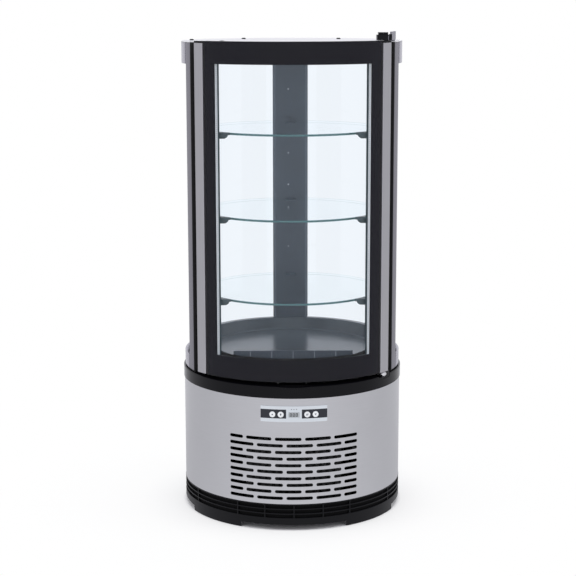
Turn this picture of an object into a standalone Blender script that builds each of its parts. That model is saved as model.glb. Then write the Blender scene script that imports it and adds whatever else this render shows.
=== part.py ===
"""Round refrigerated display case with a curved glass door.

Metres, +Z up.  The origin is the middle of the underside.  The front of the case faces -Y, and bearings are
measured from -Y towards +X.  The body is a set of concentric rings; the door follows its own, flatter arc.
"""
import math

import bmesh
import bpy
from mathutils import Matrix, Vector

# Clearances
GAP = 0.0003              # between pieces that touch
RUNNING = 0.0004          # round a button
PIN_PLAY = 0.0001         # round a hinge pin
OVER = 0.0100             # how far a cutter passes beyond the piece it cuts

# Lower body
BODY_RADIUS = 0.2250      # outside of the sheet skin
SKIN_THICKNESS = 0.0010
SKIN_HEIGHT = 0.2160
SKIRT_PROUD = 0.0005      # skirt outside the skin
SKIRT_WALL = 0.0040
SKIRT_HEIGHT = 0.0537
SKIRT_RIM = 0.0023        # solid rim above the top row of louvres
FOOT_NOTCH = 0.0106       # height of the recesses between the foot arcs
FOOT_INNER = 28.0         # degrees, where the front recess ends
FOOT_OUTER = 65.0         # degrees, where the side recess begins
LOUVRE_ROWS = 3
LOUVRE_HEIGHT = 0.0072
LOUVRE_BAR = 0.0024       # thin level bars between the rows
LOUVRE_RIB = 0.0026       # upright ribs
LOUVRE_BAYS = 12          # bays round the skirt; the two front ones are halved
LEDGE_DEPTH = 0.0090      # inner ledge that carries the base plate
LEDGE_HEIGHT = 0.0137
LEDGE_THICKNESS = 0.0025
BASE_PLATE = 0.0030
PLATE_PLAY = 0.0012       # round the base plate
COLLAR_PROUD = 0.0015
COLLAR_HEIGHT = 0.0235
COLLAR_WALL = 0.0040
DECK_THICKNESS = 0.0035   # level flange of the collar
DECK_MARGIN = 0.0050      # deck beyond the doorway frame
COLLAR_CHAMFER = 0.0012
PULL_WIDTH = 0.0680       # shallow dip in the collar rim, under the door
PULL_DEPTH = 0.0016

# Grille in the skin
GRILLE_RISE = 0.0121      # middle of the lowest row above the skin's lower edge
GRILLE_PITCH = 0.01348
GRILLE_ROWS = 10
SLOT_HEIGHT = 0.0065
SLOT_LONG = 0.0530
SLOT_SHORT = 0.0300
SLOT_SPACE = 0.0068
SLOTS_LONG = 4            # long slots in a row, beside one short one
SLOT_TURNS = 3            # facets of a slot's round end

# Cabin
CABIN_HEIGHT = 0.6631     # from the deck to the roof
ROOF_THICKNESS = 0.0020
BAND_INSET = 0.0018       # bands inside the skin line
BAND_THICKNESS = 0.0081
BAND_START = 74.0         # degrees
LOW_BAND_HEIGHT = 0.0304
TOP_BAND_HEIGHT = 0.0419
POST_THICKNESS = 0.0080
POST_FRONT = 69.0         # degrees
POST_BACK = 88.5
REAR_GLASS = 0.0050
PANE_SHORT = 0.0060       # rear panes stop below the roof
SHOULDER = 62.5           # degrees, where the lining turns from the doorway to the side
SHOULDER_INSET = 0.0230
LINING_START = 72.5       # degrees
LINING_SLACK = 1.0        # degrees, lining and roof inside the doorway frame's ends
CEILING_THICKNESS = 0.0390

# Door arc
DOOR_FLATTER = 0.0150     # door's outer face: radius beyond the body's
DOOR_INSET = 0.0050       # outer face behind the skin line, at the middle
DOOR_GLASS = 0.0040
DOOR_CAVITY = 0.0120      # between the two panes
DOOR_LIFT = 0.0075        # above the collar
DOOR_RISE = 0.0022        # above the roof
PANE_HALF = 47.0          # degrees
STRIP_WIDTH = 6.3         # degrees
STRIP_DEPTH = 0.0180
CAP_HEIGHT = 0.0036
FRAME_SIDE = 40.9         # degrees, opening of the black frame between the panes
FRAME_LOW = 0.0365        # from the bottom of the door to the frame's opening
FRAME_HIGH = 0.0355
SPACER_OUTER = 40.7       # degrees
SPACER_INNER = 39.7
SPACER_DEPTH = 0.0085
SPACER_BAR = 0.0040
GASKET_DEPTH = 0.0067
GASKET_OUTER = 51.0       # degrees
GASKET_INNER = 46.6
GASKET_BAR = 0.0140
GASKET_EDGE = 0.0160      # from the door's end to the gasket
SURROUND_DEPTH = 0.0077
SURROUND_HALF = 57.0
JAMB_BEARING = 44.82      # degrees, inner edge of each jamb
SILL_HEIGHT = 0.0512
HEADER_HEIGHT = 0.0400
LIP_SPAN = 4.0            # degrees, lip between the doorway frame and a post
LIP_PLAY = 0.25
LIP_PROUD = 0.0016        # lip outside the posts, at its front

# Hinges
PIN_DEPTH = 0.0068        # pin inside the door's outer face
PIN_BEARING = 50.9        # degrees about the door's centre
PIN_RADIUS = 0.0032
PIN_LENGTH = 0.0140       # into the door
PIN_REACH = 0.0010        # bore beyond the pin's end
KNOB_RADIUS = 0.0078
KNOB_FOOT = 0.0047        # radius of the knob's underside
KNOB_ROUND = 0.0009       # rounding of its lower edge
KNOB_WAIST = 0.55         # height of its widest line, as a share of the knob
HINGE_NOTCH = 0.0064      # depth of the pocket in the collar
POCKET_HALF = 5.2         # degrees either side of the pin
POCKET_MARGIN = 0.0014    # pocket beyond the knob
BRACKET_SHEET = 0.0034
TAB_START = 2.4           # degrees past the pin
TAB_DEPTH = 0.0070
ARM_THICKNESS = 0.0030
ARM_AHEAD = 0.0055        # arm in front of the pin
ARM_BEHIND = 0.0075
FIN_HEIGHT = 0.0168       # above the door
FIN_THICKNESS = 0.0030
FIN_SIDE = 0.0073         # front end, outside the pin
FIN_AHEAD = 0.0080        # front end, in front of the pin
FIN_REACH = 0.0480        # back to the bend
FIN_SPREAD = 0.0195       # outward by the bend
FOOT_LENGTH = 0.0220
FOOT_WIDTH = 0.0170
COVER_INSIDE = 0.0180     # cover, from the pin towards the middle
COVER_OUTSIDE = 0.0064
COVER_AHEAD = 0.0160
COVER_BEHIND = 0.0140
COVER_STEP = 0.0108       # first step above the door
COVER_HEIGHT = 0.0156
COVER_TAPER = 0.0030      # upper step inside the lower one

# Inside the cabin
FLOOR_INSET = 0.0265      # flat floor inside the posts' inner line
FLOOR_THICKNESS = 0.0025
FLOOR_LIFT = 0.0282       # above the deck
PAN_WALL_RISE = 0.0235
PAN_WALL_FLARE = 0.0125
BAFFLE_INSET = 0.0500     # baffle behind the front of the floor
BAFFLE_HEIGHT = 0.0207
BAFFLE_SHEET = 0.0015
BAFFLE_MARGIN = 0.0045    # between the baffle's ends and the floor's edge
BAFFLE_RIBS = 5
BAFFLE_PITCH = 0.0430
BAFFLE_RIB = 0.0022
RIB_DEPTH = 0.0010        # ribs in front of the baffle
RIB_SHORT = 0.0030
RETURN_AHEAD = 0.0050     # air return in the floor, ahead of the baffle
RETURN_DEPTH = 0.0260
RETURN_MARGIN = 0.0045
COLUMN_HALF = 0.0380
COLUMN_FRONT = 0.0103     # front face inside the posts' inner line
COLUMN_BEVEL = 0.0060
COLUMN_WALL = 0.0020
COLUMN_BACK = 0.0110      # rear bulge, between the bands
BULGE_INSET = 0.0040      # bulge inside the column's sides
BULGE_ROOT = 0.0040       # how far the bulge runs into the column
SHELF_INSET = 0.0245      # shelf edge inside the posts' inner line
SHELF_GLASS = 0.0050
SHELF_FIRST = 0.1250      # middle of the lowest shelf above the floor
SHELF_SECOND = 0.1649     # next shelf above the one below
SHELF_THIRD = 0.1674
CLIP_REACH = 0.0165
CLIP_AHEAD = 0.0130       # clip in front of the shelf's edge
CLIP_DEPTH = 0.0200
CLIP_LEDGE = 0.0070
RAIL_HALF = 0.0080
RAIL_SHEET = 0.0018
RAIL_MARGIN = 0.0300
REST_HALF = 0.0110
REST_REACH = 0.0120       # under the glass
REST_SHEET = 0.0030
RAIL_FIRST = 0.0105       # first hole above the rail's lower end
RAIL_PITCH = 0.0500
RAIL_HOLE = 0.0040

# Insulated tub
TUB_WALL = 0.0180
TUB_DEPTH = 0.0980        # below the deck
TUB_FLANGE = 0.0050
TUB_LIP = 0.0062          # flange beyond the wall
TUB_EASE = 0.0020         # between the tub and the deck
PORT_HALF = 0.0280        # air port from the tub to the column
DUCT_HALF = 0.0265        # its mouth in the column
PORT_MARGIN = 0.0030      # between a port and the edges above and below it

# Control panel
PANEL_DROP = 0.0310       # middle of the panel below the skin's upper edge
PANEL_HALF = 0.0666       # along the arc
PANEL_HEIGHT = 0.0320
PANEL_SHEET = 0.0008
PANEL_OPENING = 0.0560    # half width of the opening in the skin
OPENING_HEIGHT = 0.0210
BUTTON_RADIUS = 0.0059
BUTTON_NEAR = 0.0262      # along the arc
BUTTON_FAR = 0.0428
BUTTON_LENGTH = 0.0070
BUTTON_PROUD = 0.0006
BUTTON_DROP = 0.0009      # below the middle of the panel
DISPLAY_HALF = 0.0103
DISPLAY_HEIGHT = 0.0096
DISPLAY_DROP = 0.0014
DISPLAY_DEPTH = 0.0060
DISPLAY_PROUD = 0.0002
BOX_HALF = 0.0580
BOX_HEIGHT = 0.0270
BOX_DEPTH = 0.0220
BOX_BACK = 0.0125         # front of the control box behind the skin line
BOX_EAR = 0.0040

# Machinery
CONDENSER_WIDTH = 0.1900
CONDENSER_DEPTH = 0.0340
CONDENSER_HEIGHT = 0.1500
CONDENSER_BACK = 0.0570   # middle of the condenser behind the skin line
COWL_GAP = 0.0050         # between the condenser and the fan's shroud
FIN_COUNT = 14
FIN_SLOT = 0.0060
FIN_CUT = 0.0120
FAN_PLATE = 0.1500
FAN_SHEET = 0.0040
FAN_RADIUS = 0.0580
FAN_HUB = 0.0180
FAN_DEPTH = 0.0140
FAN_TIP = 0.0040
MOTOR_RADIUS = 0.0200
MOTOR_LENGTH = 0.0300
SHAFT_RADIUS = 0.0025
SHAFT_PLAY = 0.0001
FAN_BLADES = 5
BLADE_SHEET = 0.0022
BLADE_CHORD = 1.3         # width of a blade as a share of the hub's radius
BLADE_PITCH = 26.0        # degrees
LEG_WIDTH = 0.0060        # legs and bar that carry a fan's motor
LEG_HEIGHT = 0.0100
BAR_SHEET = 0.0030
LEG_ROOT = 0.0010         # how far a leg runs into the shroud
POT_RADIUS = 0.0620
POT_HEIGHT = 0.1500
POT_X = 0.0450
POT_Y = 0.0600
POT_SEAM = 0.0043         # half height of the welded seam, and how far it stands out
POT_SHELL = 0.0600        # radius of the pot's upright wall
COIL_WIDTH = 0.2000
COIL_DEPTH = 0.0600
COIL_HEIGHT = 0.0560
COIL_Y = -0.0400
BLOWER_WIDTH = 0.1500
BLOWER_SHEET = 0.0030
BLOWER_HEIGHT = 0.0800
BLOWER_Y = 0.0500
BLOWER_RADIUS = 0.0300
BLOWER_HUB = 0.0110
BLOWER_DEPTH = 0.0100
BLOWER_MOTOR = 0.0180
PIPE_RADIUS = 0.0040
PIPE_BEND = 0.0120
PIPE_CLEAR = 0.0120       # pipe beside the condenser
HOT_OUT = 0.0200          # hot gas line beside the compressor
HOT_AHEAD = 0.0900        # how far it runs forward before it turns to the condenser
SUCTION_OUT = 0.0350      # suction line beside the compressor
INLET_RISE = 0.0360       # power inlet above the skin's lower edge
INLET_HALF = 0.0135
INLET_TALL = 0.0200
INLET_DEPTH = 0.0200
INLET_FLANGE = 0.0040
INLET_SHEET = 0.0010
INLET_WALL = 0.0020
INLET_FLOOR = 0.0060

# Smoothness
RING_STEPS = 48           # facets round the body, a multiple of four
HIDDEN_STEPS = 36
DOOR_STEP = 5.0           # degrees
PIN_SIDES = 20
MOUTH_SIDES = 28
MOTOR_SIDES = 18
SHAFT_SIDES = 12
POT_SIDES = 24
MERGE = 0.10              # share of a facet under which an arc's end takes its place


def polar(radius, bearing, centre_y=0.0):
    """Plan point at a bearing in degrees."""
    turn = math.radians(bearing)
    return (radius * math.sin(turn), centre_y - radius * math.cos(turn))


# Places and radii that follow from the sizes
RING_STEP = 360.0 / RING_STEPS
SKIRT_RADIUS = BODY_RADIUS + SKIRT_PROUD
SKIN_BASE = SKIRT_HEIGHT + GAP
SKIN_TOP = SKIN_BASE + SKIN_HEIGHT
SKIN_INNER = BODY_RADIUS - SKIN_THICKNESS
COLLAR_BASE = SKIN_TOP + GAP
COLLAR_RADIUS = BODY_RADIUS + COLLAR_PROUD
DECK = COLLAR_BASE + COLLAR_HEIGHT
CABIN_BASE = DECK + GAP
ROOF_BASE = CABIN_BASE + CABIN_HEIGHT + GAP
ROOF_TOP = ROOF_BASE + ROOF_THICKNESS
CABIN_TOP = ROOF_BASE - GAP
BAND_RADIUS = BODY_RADIUS - BAND_INSET
POST_RADIUS = BAND_RADIUS - BAND_THICKNESS - 2 * GAP
POST_INNER = POST_RADIUS - POST_THICKNESS
PANE_RADIUS = POST_RADIUS - GAP
PANE_INNER = PANE_RADIUS - REAR_GLASS
DOOR_ARC = BODY_RADIUS + DOOR_FLATTER
DOOR_Y = DOOR_ARC - (BODY_RADIUS - DOOR_INSET)
DOOR_BASE = DECK + DOOR_LIFT
DOOR_TOP = ROOF_TOP + DOOR_RISE
OUTER_PANE_BACK = DOOR_ARC - DOOR_GLASS
INNER_PANE_FRONT = OUTER_PANE_BACK - DOOR_CAVITY
DOOR_BACK = INNER_PANE_FRONT - DOOR_GLASS
GASKET_BACK = DOOR_BACK - GAP - GASKET_DEPTH
SURROUND_FRONT = GASKET_BACK - GAP
SURROUND_BACK = SURROUND_FRONT - SURROUND_DEPTH
JAMB_EDGE = SURROUND_BACK * math.sin(math.radians(JAMB_BEARING))
LINING_FRONT = SURROUND_BACK - GAP
DECK_INNER = SURROUND_BACK - DOOR_Y - DECK_MARGIN
TUB_RADIUS = DECK_INNER - TUB_EASE
TUB_FLOOR = DECK - TUB_DEPTH + TUB_WALL
PAN_BASE = DECK + FLOOR_LIFT
FLOOR = PAN_BASE + FLOOR_THICKNESS
FLOOR_RADIUS = POST_INNER - FLOOR_INSET
PAN_TOP = FLOOR + PAN_WALL_RISE
BAFFLE_Y = BAFFLE_INSET - FLOOR_RADIUS
BAFFLE_HALF = math.sqrt(FLOOR_RADIUS ** 2 - BAFFLE_Y ** 2) - BAFFLE_MARGIN
RETURN_FRONT = BAFFLE_Y - RETURN_AHEAD - RETURN_DEPTH
RETURN_HALF = math.sqrt(FLOOR_RADIUS ** 2 - RETURN_FRONT ** 2) - RETURN_MARGIN
COLUMN_Y = POST_INNER - COLUMN_FRONT
CEILING = CABIN_TOP - CEILING_THICKNESS
LOW_BAND_TOP = CABIN_BASE + LOW_BAND_HEIGHT
TOP_BAND_BASE = CABIN_TOP - TOP_BAND_HEIGHT
STRIP_START = PANE_HALF + math.degrees(GAP / DOOR_BACK)
STRIP_END = STRIP_START + STRIP_WIDTH
SHELF_RADIUS = POST_INNER - SHELF_INSET
SHELF_LEVELS = (FLOOR + SHELF_FIRST, FLOOR + SHELF_FIRST + SHELF_SECOND,
                FLOOR + SHELF_FIRST + SHELF_SECOND + SHELF_THIRD)
CLIP_X = JAMB_EDGE - GAP - CLIP_REACH / 2
CLIP_FRONT = -math.sqrt(SHELF_RADIUS ** 2 - CLIP_X ** 2) - CLIP_AHEAD
PLATE_TOP = LEDGE_HEIGHT + GAP + BASE_PLATE
HINGE_X, HINGE_Y = polar(DOOR_ARC - PIN_DEPTH, PIN_BEARING, DOOR_Y)
HINGE_BEARING = math.degrees(math.atan2(HINGE_X, -HINGE_Y))
HINGE_ORBIT = math.hypot(HINGE_X, HINGE_Y)
POCKET_RADIUS = HINGE_ORBIT - KNOB_RADIUS - POCKET_MARGIN
PANEL_MIDDLE = SKIN_TOP - PANEL_DROP
INLET_Z = SKIN_BASE + INLET_RISE
CONDENSER_Y = CONDENSER_BACK - BODY_RADIUS
FAN_Y = CONDENSER_Y + CONDENSER_DEPTH / 2 + COWL_GAP + FAN_SHEET / 2


# A clean scene with one collection for the parts and one for the cutters
for old in list(bpy.data.objects):
    bpy.data.objects.remove(old, do_unlink=True)

PARTS = bpy.data.collections.new("refrigerated_display")
CUTTERS = bpy.data.collections.new("cutters")
bpy.context.scene.collection.children.link(PARTS)
bpy.context.scene.collection.children.link(CUTTERS)


def finish(name, colour, metallic=0.0, roughness=0.5, transmission=0.0, alpha=1.0):
    """A Principled material with one plain colour."""
    mat = bpy.data.materials.new(name)
    mat.use_nodes = True
    shader = mat.node_tree.nodes["Principled BSDF"]
    shader.inputs["Base Color"].default_value = (*colour, 1.0)
    shader.inputs["Metallic"].default_value = metallic
    shader.inputs["Roughness"].default_value = roughness
    shader.inputs["Transmission Weight"].default_value = transmission
    shader.inputs["Alpha"].default_value = alpha
    mat.diffuse_color = (*colour, alpha)
    return mat


STEEL = finish("brushed_stainless", (0.46, 0.46, 0.48), 1.0, 0.34)
SILVER = finish("anodised_aluminium", (0.42, 0.42, 0.45), 1.0, 0.30)
ROOF_GREY = finish("pale_grey_paint", (0.62, 0.62, 0.64), 0.0, 0.45)
GLOSS_BLACK = finish("gloss_black_plastic", (0.012, 0.012, 0.014), 0.0, 0.18)
SATIN_BLACK = finish("satin_black_plastic", (0.030, 0.030, 0.034), 0.0, 0.42)
RUBBER = finish("black_rubber", (0.018, 0.018, 0.019), 0.0, 0.75)
DARK_GREY = finish("dark_grey_plastic", (0.085, 0.100, 0.115), 0.0, 0.35)
FOAM = finish("insulated_liner", (0.55, 0.56, 0.57), 0.0, 0.55)
CLEAR = finish("clear_glass", (0.86, 0.94, 0.95), 0.0, 0.03, 1.0, 0.25)
CHROME = finish("chrome", (0.70, 0.70, 0.72), 1.0, 0.10)
GALVANISED = finish("galvanised_steel", (0.40, 0.41, 0.42), 1.0, 0.45)
POT_BLACK = finish("black_enamelled_steel", (0.015, 0.015, 0.016), 0.0, 0.38)
COPPER = finish("copper_tube", (0.62, 0.30, 0.18), 1.0, 0.30)
FIN_METAL = finish("aluminium_fins", (0.55, 0.56, 0.57), 1.0, 0.38)
PANEL_GREY = finish("panel_film", (0.62, 0.65, 0.74), 0.0, 0.40)
WHITE = finish("white_plastic", (0.80, 0.80, 0.82), 0.0, 0.40)
DISPLAY_BLACK = finish("display_window", (0.010, 0.012, 0.014), 0.0, 0.12)


def place(obj, mat, parent=None):
    """Link a part, give it its material and keep its place if it has a parent."""
    PARTS.objects.link(obj)
    obj.data.materials.append(mat)
    if parent is not None:
        obj.parent = parent
        obj.matrix_parent_inverse = Matrix.Translation(-parent.location)
    return obj


def axis_point(name, location):
    """An empty on a joint's axis, for the moving pieces to hang on."""
    empty = bpy.data.objects.new(name, None)
    empty.location = location
    PARTS.objects.link(empty)
    return empty


def smooth(mesh, angle=35.0):
    """Smooth shading with sharp edges where faces meet at more than the angle."""
    mesh.shade_smooth()
    mesh.set_sharp_from_angle(angle=math.radians(angle))


def stations(start, end, step):
    """Bearings from start to end on whole multiples of the step, so that neighbouring arcs share facets."""
    first = math.floor(start / step) + 1
    last = math.ceil(end / step) - 1
    inner = [k * step for k in range(first, last + 1)]
    inner = [b for b in inner if b - start > MERGE * step and end - b > MERGE * step]
    return [start] + inner + [end]


def arc(radius, start, end, step, centre_y=0.0):
    """Plan points along an arc."""
    return [polar(radius, b, centre_y) for b in stations(start, end, step)]


def sector(inner, outer, start, end, step, centre_y=0.0):
    """Outline of a piece of a ring."""
    return arc(outer, start, end, step, centre_y) + arc(inner, start, end, step, centre_y)[::-1]


def curve_to_mesh(obj):
    """Turn a curve object into a welded mesh object in the same place."""
    bpy.context.scene.collection.objects.link(obj)
    bpy.context.view_layer.update()
    graph = bpy.context.evaluated_depsgraph_get()
    mesh = bpy.data.meshes.new_from_object(obj.evaluated_get(graph))
    matrix = obj.matrix_world.copy()
    name = obj.name
    bpy.data.objects.remove(obj, do_unlink=True)
    work = bmesh.new()
    work.from_mesh(mesh)
    bmesh.ops.remove_doubles(work, verts=work.verts, dist=0.000002)
    bmesh.ops.recalc_face_normals(work, faces=work.faces)
    work.to_mesh(mesh)
    work.free()
    mesh.name = name
    made = bpy.data.objects.new(name, mesh)
    made.matrix_world = matrix
    return made


def flat_curve(name, outlines, half_height):
    """Closed outlines, with any holes in them, as one filled 2D curve extruded both ways."""
    data = bpy.data.curves.new(name, "CURVE")
    data.dimensions = "2D"
    data.fill_mode = "BOTH"
    data.extrude = half_height
    for outline in outlines:
        spline = data.splines.new("POLY")
        spline.points.add(len(outline) - 1)
        for point, (x, y) in zip(spline.points, outline):
            point.co = (x, y, 0.0, 1.0)
        spline.use_cyclic_u = True
    return bpy.data.objects.new(name, data)


def plate(name, outlines, base, height, centre_y=0.0):
    """A flat outline, with any holes in it, extruded upwards."""
    obj = flat_curve(name, outlines, height / 2)
    obj.location = (0.0, centre_y, base + height / 2)
    made = curve_to_mesh(obj)
    smooth(made.data)
    return made


def wrapped(name, outlines, inner, outer):
    """Flat outlines of (length along the arc, height) rolled round the body as radial prisms."""
    made = curve_to_mesh(flat_curve(name, outlines, 1.0))
    for vertex in made.data.vertices:
        along, height, side = vertex.co
        radius = outer if side > 0.0 else inner
        turn = along / BODY_RADIUS
        vertex.co = (radius * math.sin(turn), -radius * math.cos(turn), height)
    work = bmesh.new()
    work.from_mesh(made.data)
    bmesh.ops.recalc_face_normals(work, faces=work.faces)
    work.to_mesh(made.data)
    work.free()
    return made


def turned(name, profile, steps=RING_STEPS, closed=True, location=(0.0, 0.0, 0.0)):
    """A profile of (radius, height) points, down the outer side first, turned about Z."""
    mesh = bpy.data.meshes.new(name)
    count = len(profile)
    edges = [(i, i + 1) for i in range(count - 1)]
    if closed:
        edges.append((count - 1, 0))
    mesh.from_pydata([(r, 0.0, z) for r, z in profile], edges, [])
    obj = bpy.data.objects.new(name, mesh)
    obj.location = location
    screw = obj.modifiers.new("turn", "SCREW")
    screw.axis = "Z"
    screw.angle = math.tau
    screw.steps = steps
    screw.render_steps = steps
    screw.use_merge_vertices = True
    screw.merge_threshold = 0.00001
    screw.use_smooth_shade = True
    return obj


def block(name, size, centre):
    """A box with its origin at its middle."""
    work = bmesh.new()
    bmesh.ops.create_cube(work, size=1.0, matrix=Matrix.Diagonal((*size, 1.0)))
    mesh = bpy.data.meshes.new(name)
    work.to_mesh(mesh)
    work.free()
    obj = bpy.data.objects.new(name, mesh)
    obj.location = centre
    return obj


def rod(name, radius, start, end, sides=PIN_SIDES):
    """A cylinder between two points."""
    a = Vector(start)
    b = Vector(end)
    work = bmesh.new()
    length = (b - a).length
    bmesh.ops.create_cone(work, cap_ends=True, segments=sides, radius1=radius, radius2=radius, depth=length)
    mesh = bpy.data.meshes.new(name)
    work.to_mesh(mesh)
    work.free()
    smooth(mesh)
    obj = bpy.data.objects.new(name, mesh)
    obj.rotation_mode = "QUATERNION"
    obj.rotation_quaternion = Vector((0.0, 0.0, 1.0)).rotation_difference(b - a)
    obj.location = (a + b) / 2
    return obj


def in_row(cutter, count, offset):
    """Repeat a cutter along a line."""
    row = cutter.modifiers.new("row", "ARRAY")
    row.count = count
    row.use_relative_offset = False
    row.use_constant_offset = True
    row.constant_offset_displace = offset
    return cutter


def boolean(target, other, operation):
    """Add a Boolean step whose tool is kept out of the model."""
    CUTTERS.objects.link(other)
    other.hide_render = True
    other.display_type = "WIRE"
    step = target.modifiers.new(operation.lower(), "BOOLEAN")
    step.operation = operation
    step.solver = "EXACT"
    step.object = other


def cut(target, other):
    """Take one shape out of another."""
    boolean(target, other, "DIFFERENCE")


def join(target, other):
    """Add one shape to another."""
    boolean(target, other, "UNION")


def stadium(start, length, middle, height):
    """A slot with round ends, as (along, height) points."""
    r = height / 2
    points = []
    for k in range(SLOT_TURNS + 1):
        a = -math.pi / 2 + math.pi * k / SLOT_TURNS
        points.append((start + length - r + r * math.cos(a), middle + r * math.sin(a)))
    for k in range(SLOT_TURNS + 1):
        a = math.pi / 2 + math.pi * k / SLOT_TURNS
        points.append((start + r + r * math.cos(a), middle + r * math.sin(a)))
    return points


def base_skirt():
    """Louvred ring that the case stands on."""
    inner = SKIRT_RADIUS - SKIRT_WALL
    ledge = inner - LEDGE_DEPTH
    under = LEDGE_HEIGHT - LEDGE_THICKNESS
    profile = [(SKIRT_RADIUS, SKIRT_HEIGHT), (SKIRT_RADIUS, 0.0), (inner, 0.0), (inner, under),
               (ledge, under), (ledge, LEDGE_HEIGHT), (inner, LEDGE_HEIGHT), (inner, SKIRT_HEIGHT)]
    ring = turned("base_skirt", profile)
    bay = 360.0 / LOUVRE_BAYS
    half_turn = LOUVRE_BAYS // 2
    ribs = sorted([k * bay for k in range(-half_turn, half_turn + 1)] + [-bay / 2, bay / 2])
    half_rib = LOUVRE_RIB / 2
    openings = []
    for row in range(LOUVRE_ROWS):
        high = SKIRT_HEIGHT - SKIRT_RIM - row * (LOUVRE_HEIGHT + LOUVRE_BAR)
        low = high - LOUVRE_HEIGHT
        for left, right in zip(ribs[:-1], ribs[1:]):
            a = math.radians(left) * BODY_RADIUS + half_rib
            b = math.radians(right) * BODY_RADIUS - half_rib
            openings.append([(a, low), (b, low), (b, high), (a, high)])
    reach = SKIRT_RADIUS / math.cos(math.radians(bay / 2)) + OVER
    cut(ring, wrapped("louvre_cutter", openings, inner - OVER, reach))
    recesses = []
    for left, right in ((-FOOT_INNER, FOOT_INNER), (FOOT_OUTER, 180 - FOOT_OUTER),
                        (180 - FOOT_INNER, 180 + FOOT_INNER), (180 + FOOT_OUTER, 360 - FOOT_OUTER)):
        recesses.append(sector(inner - SKIRT_WALL / 2, SKIRT_RADIUS + SKIRT_WALL, left, right, RING_STEP))
    cut(ring, plate("recess_cutter", recesses, -FOOT_NOTCH, 2 * FOOT_NOTCH))
    place(ring, SATIN_BLACK)


def base_plate():
    """Pressed steel floor of the machine space, lying on the skirt's ledge."""
    radius = SKIRT_RADIUS - SKIRT_WALL - PLATE_PLAY
    low = LEDGE_HEIGHT + GAP
    profile = [(0.0, PLATE_TOP), (radius, PLATE_TOP), (radius, low), (0.0, low)]
    place(turned("base_plate", profile, steps=HIDDEN_STEPS, closed=False), GALVANISED)


def steel_skin():
    """Rolled sheet with its staggered air grille and the openings for the panel and the power inlet."""
    profile = [(BODY_RADIUS, SKIN_TOP), (BODY_RADIUS, SKIN_BASE), (SKIN_INNER, SKIN_BASE),
               (SKIN_INNER, SKIN_TOP)]
    skin = turned("steel_skin", profile)
    span = SLOTS_LONG * (SLOT_LONG + SLOT_SPACE) + SLOT_SHORT
    slots = []
    for row in range(GRILLE_ROWS):
        middle = SKIN_BASE + GRILLE_RISE + row * GRILLE_PITCH
        at = -span / 2
        lengths = [SLOT_LONG] * SLOTS_LONG + [SLOT_SHORT]
        if row % 2:
            lengths.reverse()
        for length in lengths:
            slots.append(stadium(at, length, middle, SLOT_HEIGHT))
            at += length + SLOT_SPACE
    cut(skin, wrapped("grille_cutter", slots, BODY_RADIUS - OVER, BODY_RADIUS + OVER))
    half = math.degrees(PANEL_OPENING / BODY_RADIUS)
    window = sector(BODY_RADIUS - OVER, BODY_RADIUS + OVER, -half, half, RING_STEP)
    cut(skin, plate("panel_opening_cutter", [window], PANEL_MIDDLE - OPENING_HEIGHT / 2, OPENING_HEIGHT))
    hole = (2 * (INLET_HALF + GAP), 2 * OVER, INLET_TALL + 2 * GAP)
    cut(skin, block("inlet_opening_cutter", hole, (0.0, BODY_RADIUS, INLET_Z)))
    place(skin, STEEL)


def collar_ring():
    """Gloss ring over the skin, with the level deck that carries the cabin."""
    wall = COLLAR_RADIUS - COLLAR_WALL
    under = DECK - DECK_THICKNESS
    chamfer = COLLAR_CHAMFER
    profile = [(COLLAR_RADIUS - chamfer, DECK), (COLLAR_RADIUS, DECK - chamfer), (COLLAR_RADIUS, COLLAR_BASE),
               (wall, COLLAR_BASE), (wall, under), (DECK_INNER, under), (DECK_INNER, DECK)]
    ring = turned("collar_ring", profile)
    cut(ring, block("pull_cutter", (PULL_WIDTH, 2 * OVER, 2 * PULL_DEPTH), (0.0, -COLLAR_RADIUS, DECK)))
    start = HINGE_BEARING - POCKET_HALF
    end = HINGE_BEARING + POCKET_HALF
    pocket = sector(POCKET_RADIUS, COLLAR_RADIUS + OVER, start, end, RING_STEP)
    cut(ring, plate("hinge_pocket_cutter", [pocket], DECK - HINGE_NOTCH, 2 * HINGE_NOTCH))
    place(ring, GLOSS_BLACK)


def bands():
    """Silver bands that hold the rear glass at its foot and head."""
    outline = sector(BAND_RADIUS - BAND_THICKNESS, BAND_RADIUS, BAND_START, 360.0 - BAND_START, RING_STEP)
    place(plate("lower_band", [outline], CABIN_BASE, LOW_BAND_HEIGHT), SILVER)
    place(plate("upper_band", [outline], TOP_BAND_BASE, TOP_BAND_HEIGHT), SILVER)


def posts():
    """Upright aluminium posts between the doorway and the rear glass."""
    for side, name in ((-1, "post_left"), (1, "post_right")):
        ends = sorted((side * POST_FRONT, side * POST_BACK))
        outline = sector(POST_INNER, POST_RADIUS, ends[0], ends[1], RING_STEP)
        place(plate(name, [outline], CABIN_BASE, CABIN_HEIGHT), SILVER)


def rear_glass():
    """Two curved panes, each from a post to the air column."""
    stop = 180.0 - math.degrees(math.asin((COLUMN_HALF + 2 * GAP) / PANE_INNER))
    start = POST_BACK + math.degrees(GAP / PANE_INNER)
    for side, name in ((-1, "rear_glass_left"), (1, "rear_glass_right")):
        ends = sorted((side * start, side * stop))
        outline = sector(PANE_INNER, PANE_RADIUS, ends[0], ends[1], RING_STEP)
        place(plate(name, [outline], CABIN_BASE, CABIN_HEIGHT - PANE_SHORT), CLEAR)


def lining_outline(front, radius):
    """Plan of what fills the cabin behind the doorway: the door's arc in front, a circle behind."""
    half = SURROUND_HALF - LINING_SLACK
    points = arc(front, -half, half, DOOR_STEP, DOOR_Y)
    points.append(polar(radius - SHOULDER_INSET, SHOULDER))
    points += arc(radius, LINING_START, 360.0 - LINING_START, RING_STEP)
    points.append(polar(radius - SHOULDER_INSET, -SHOULDER))
    return points


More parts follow.
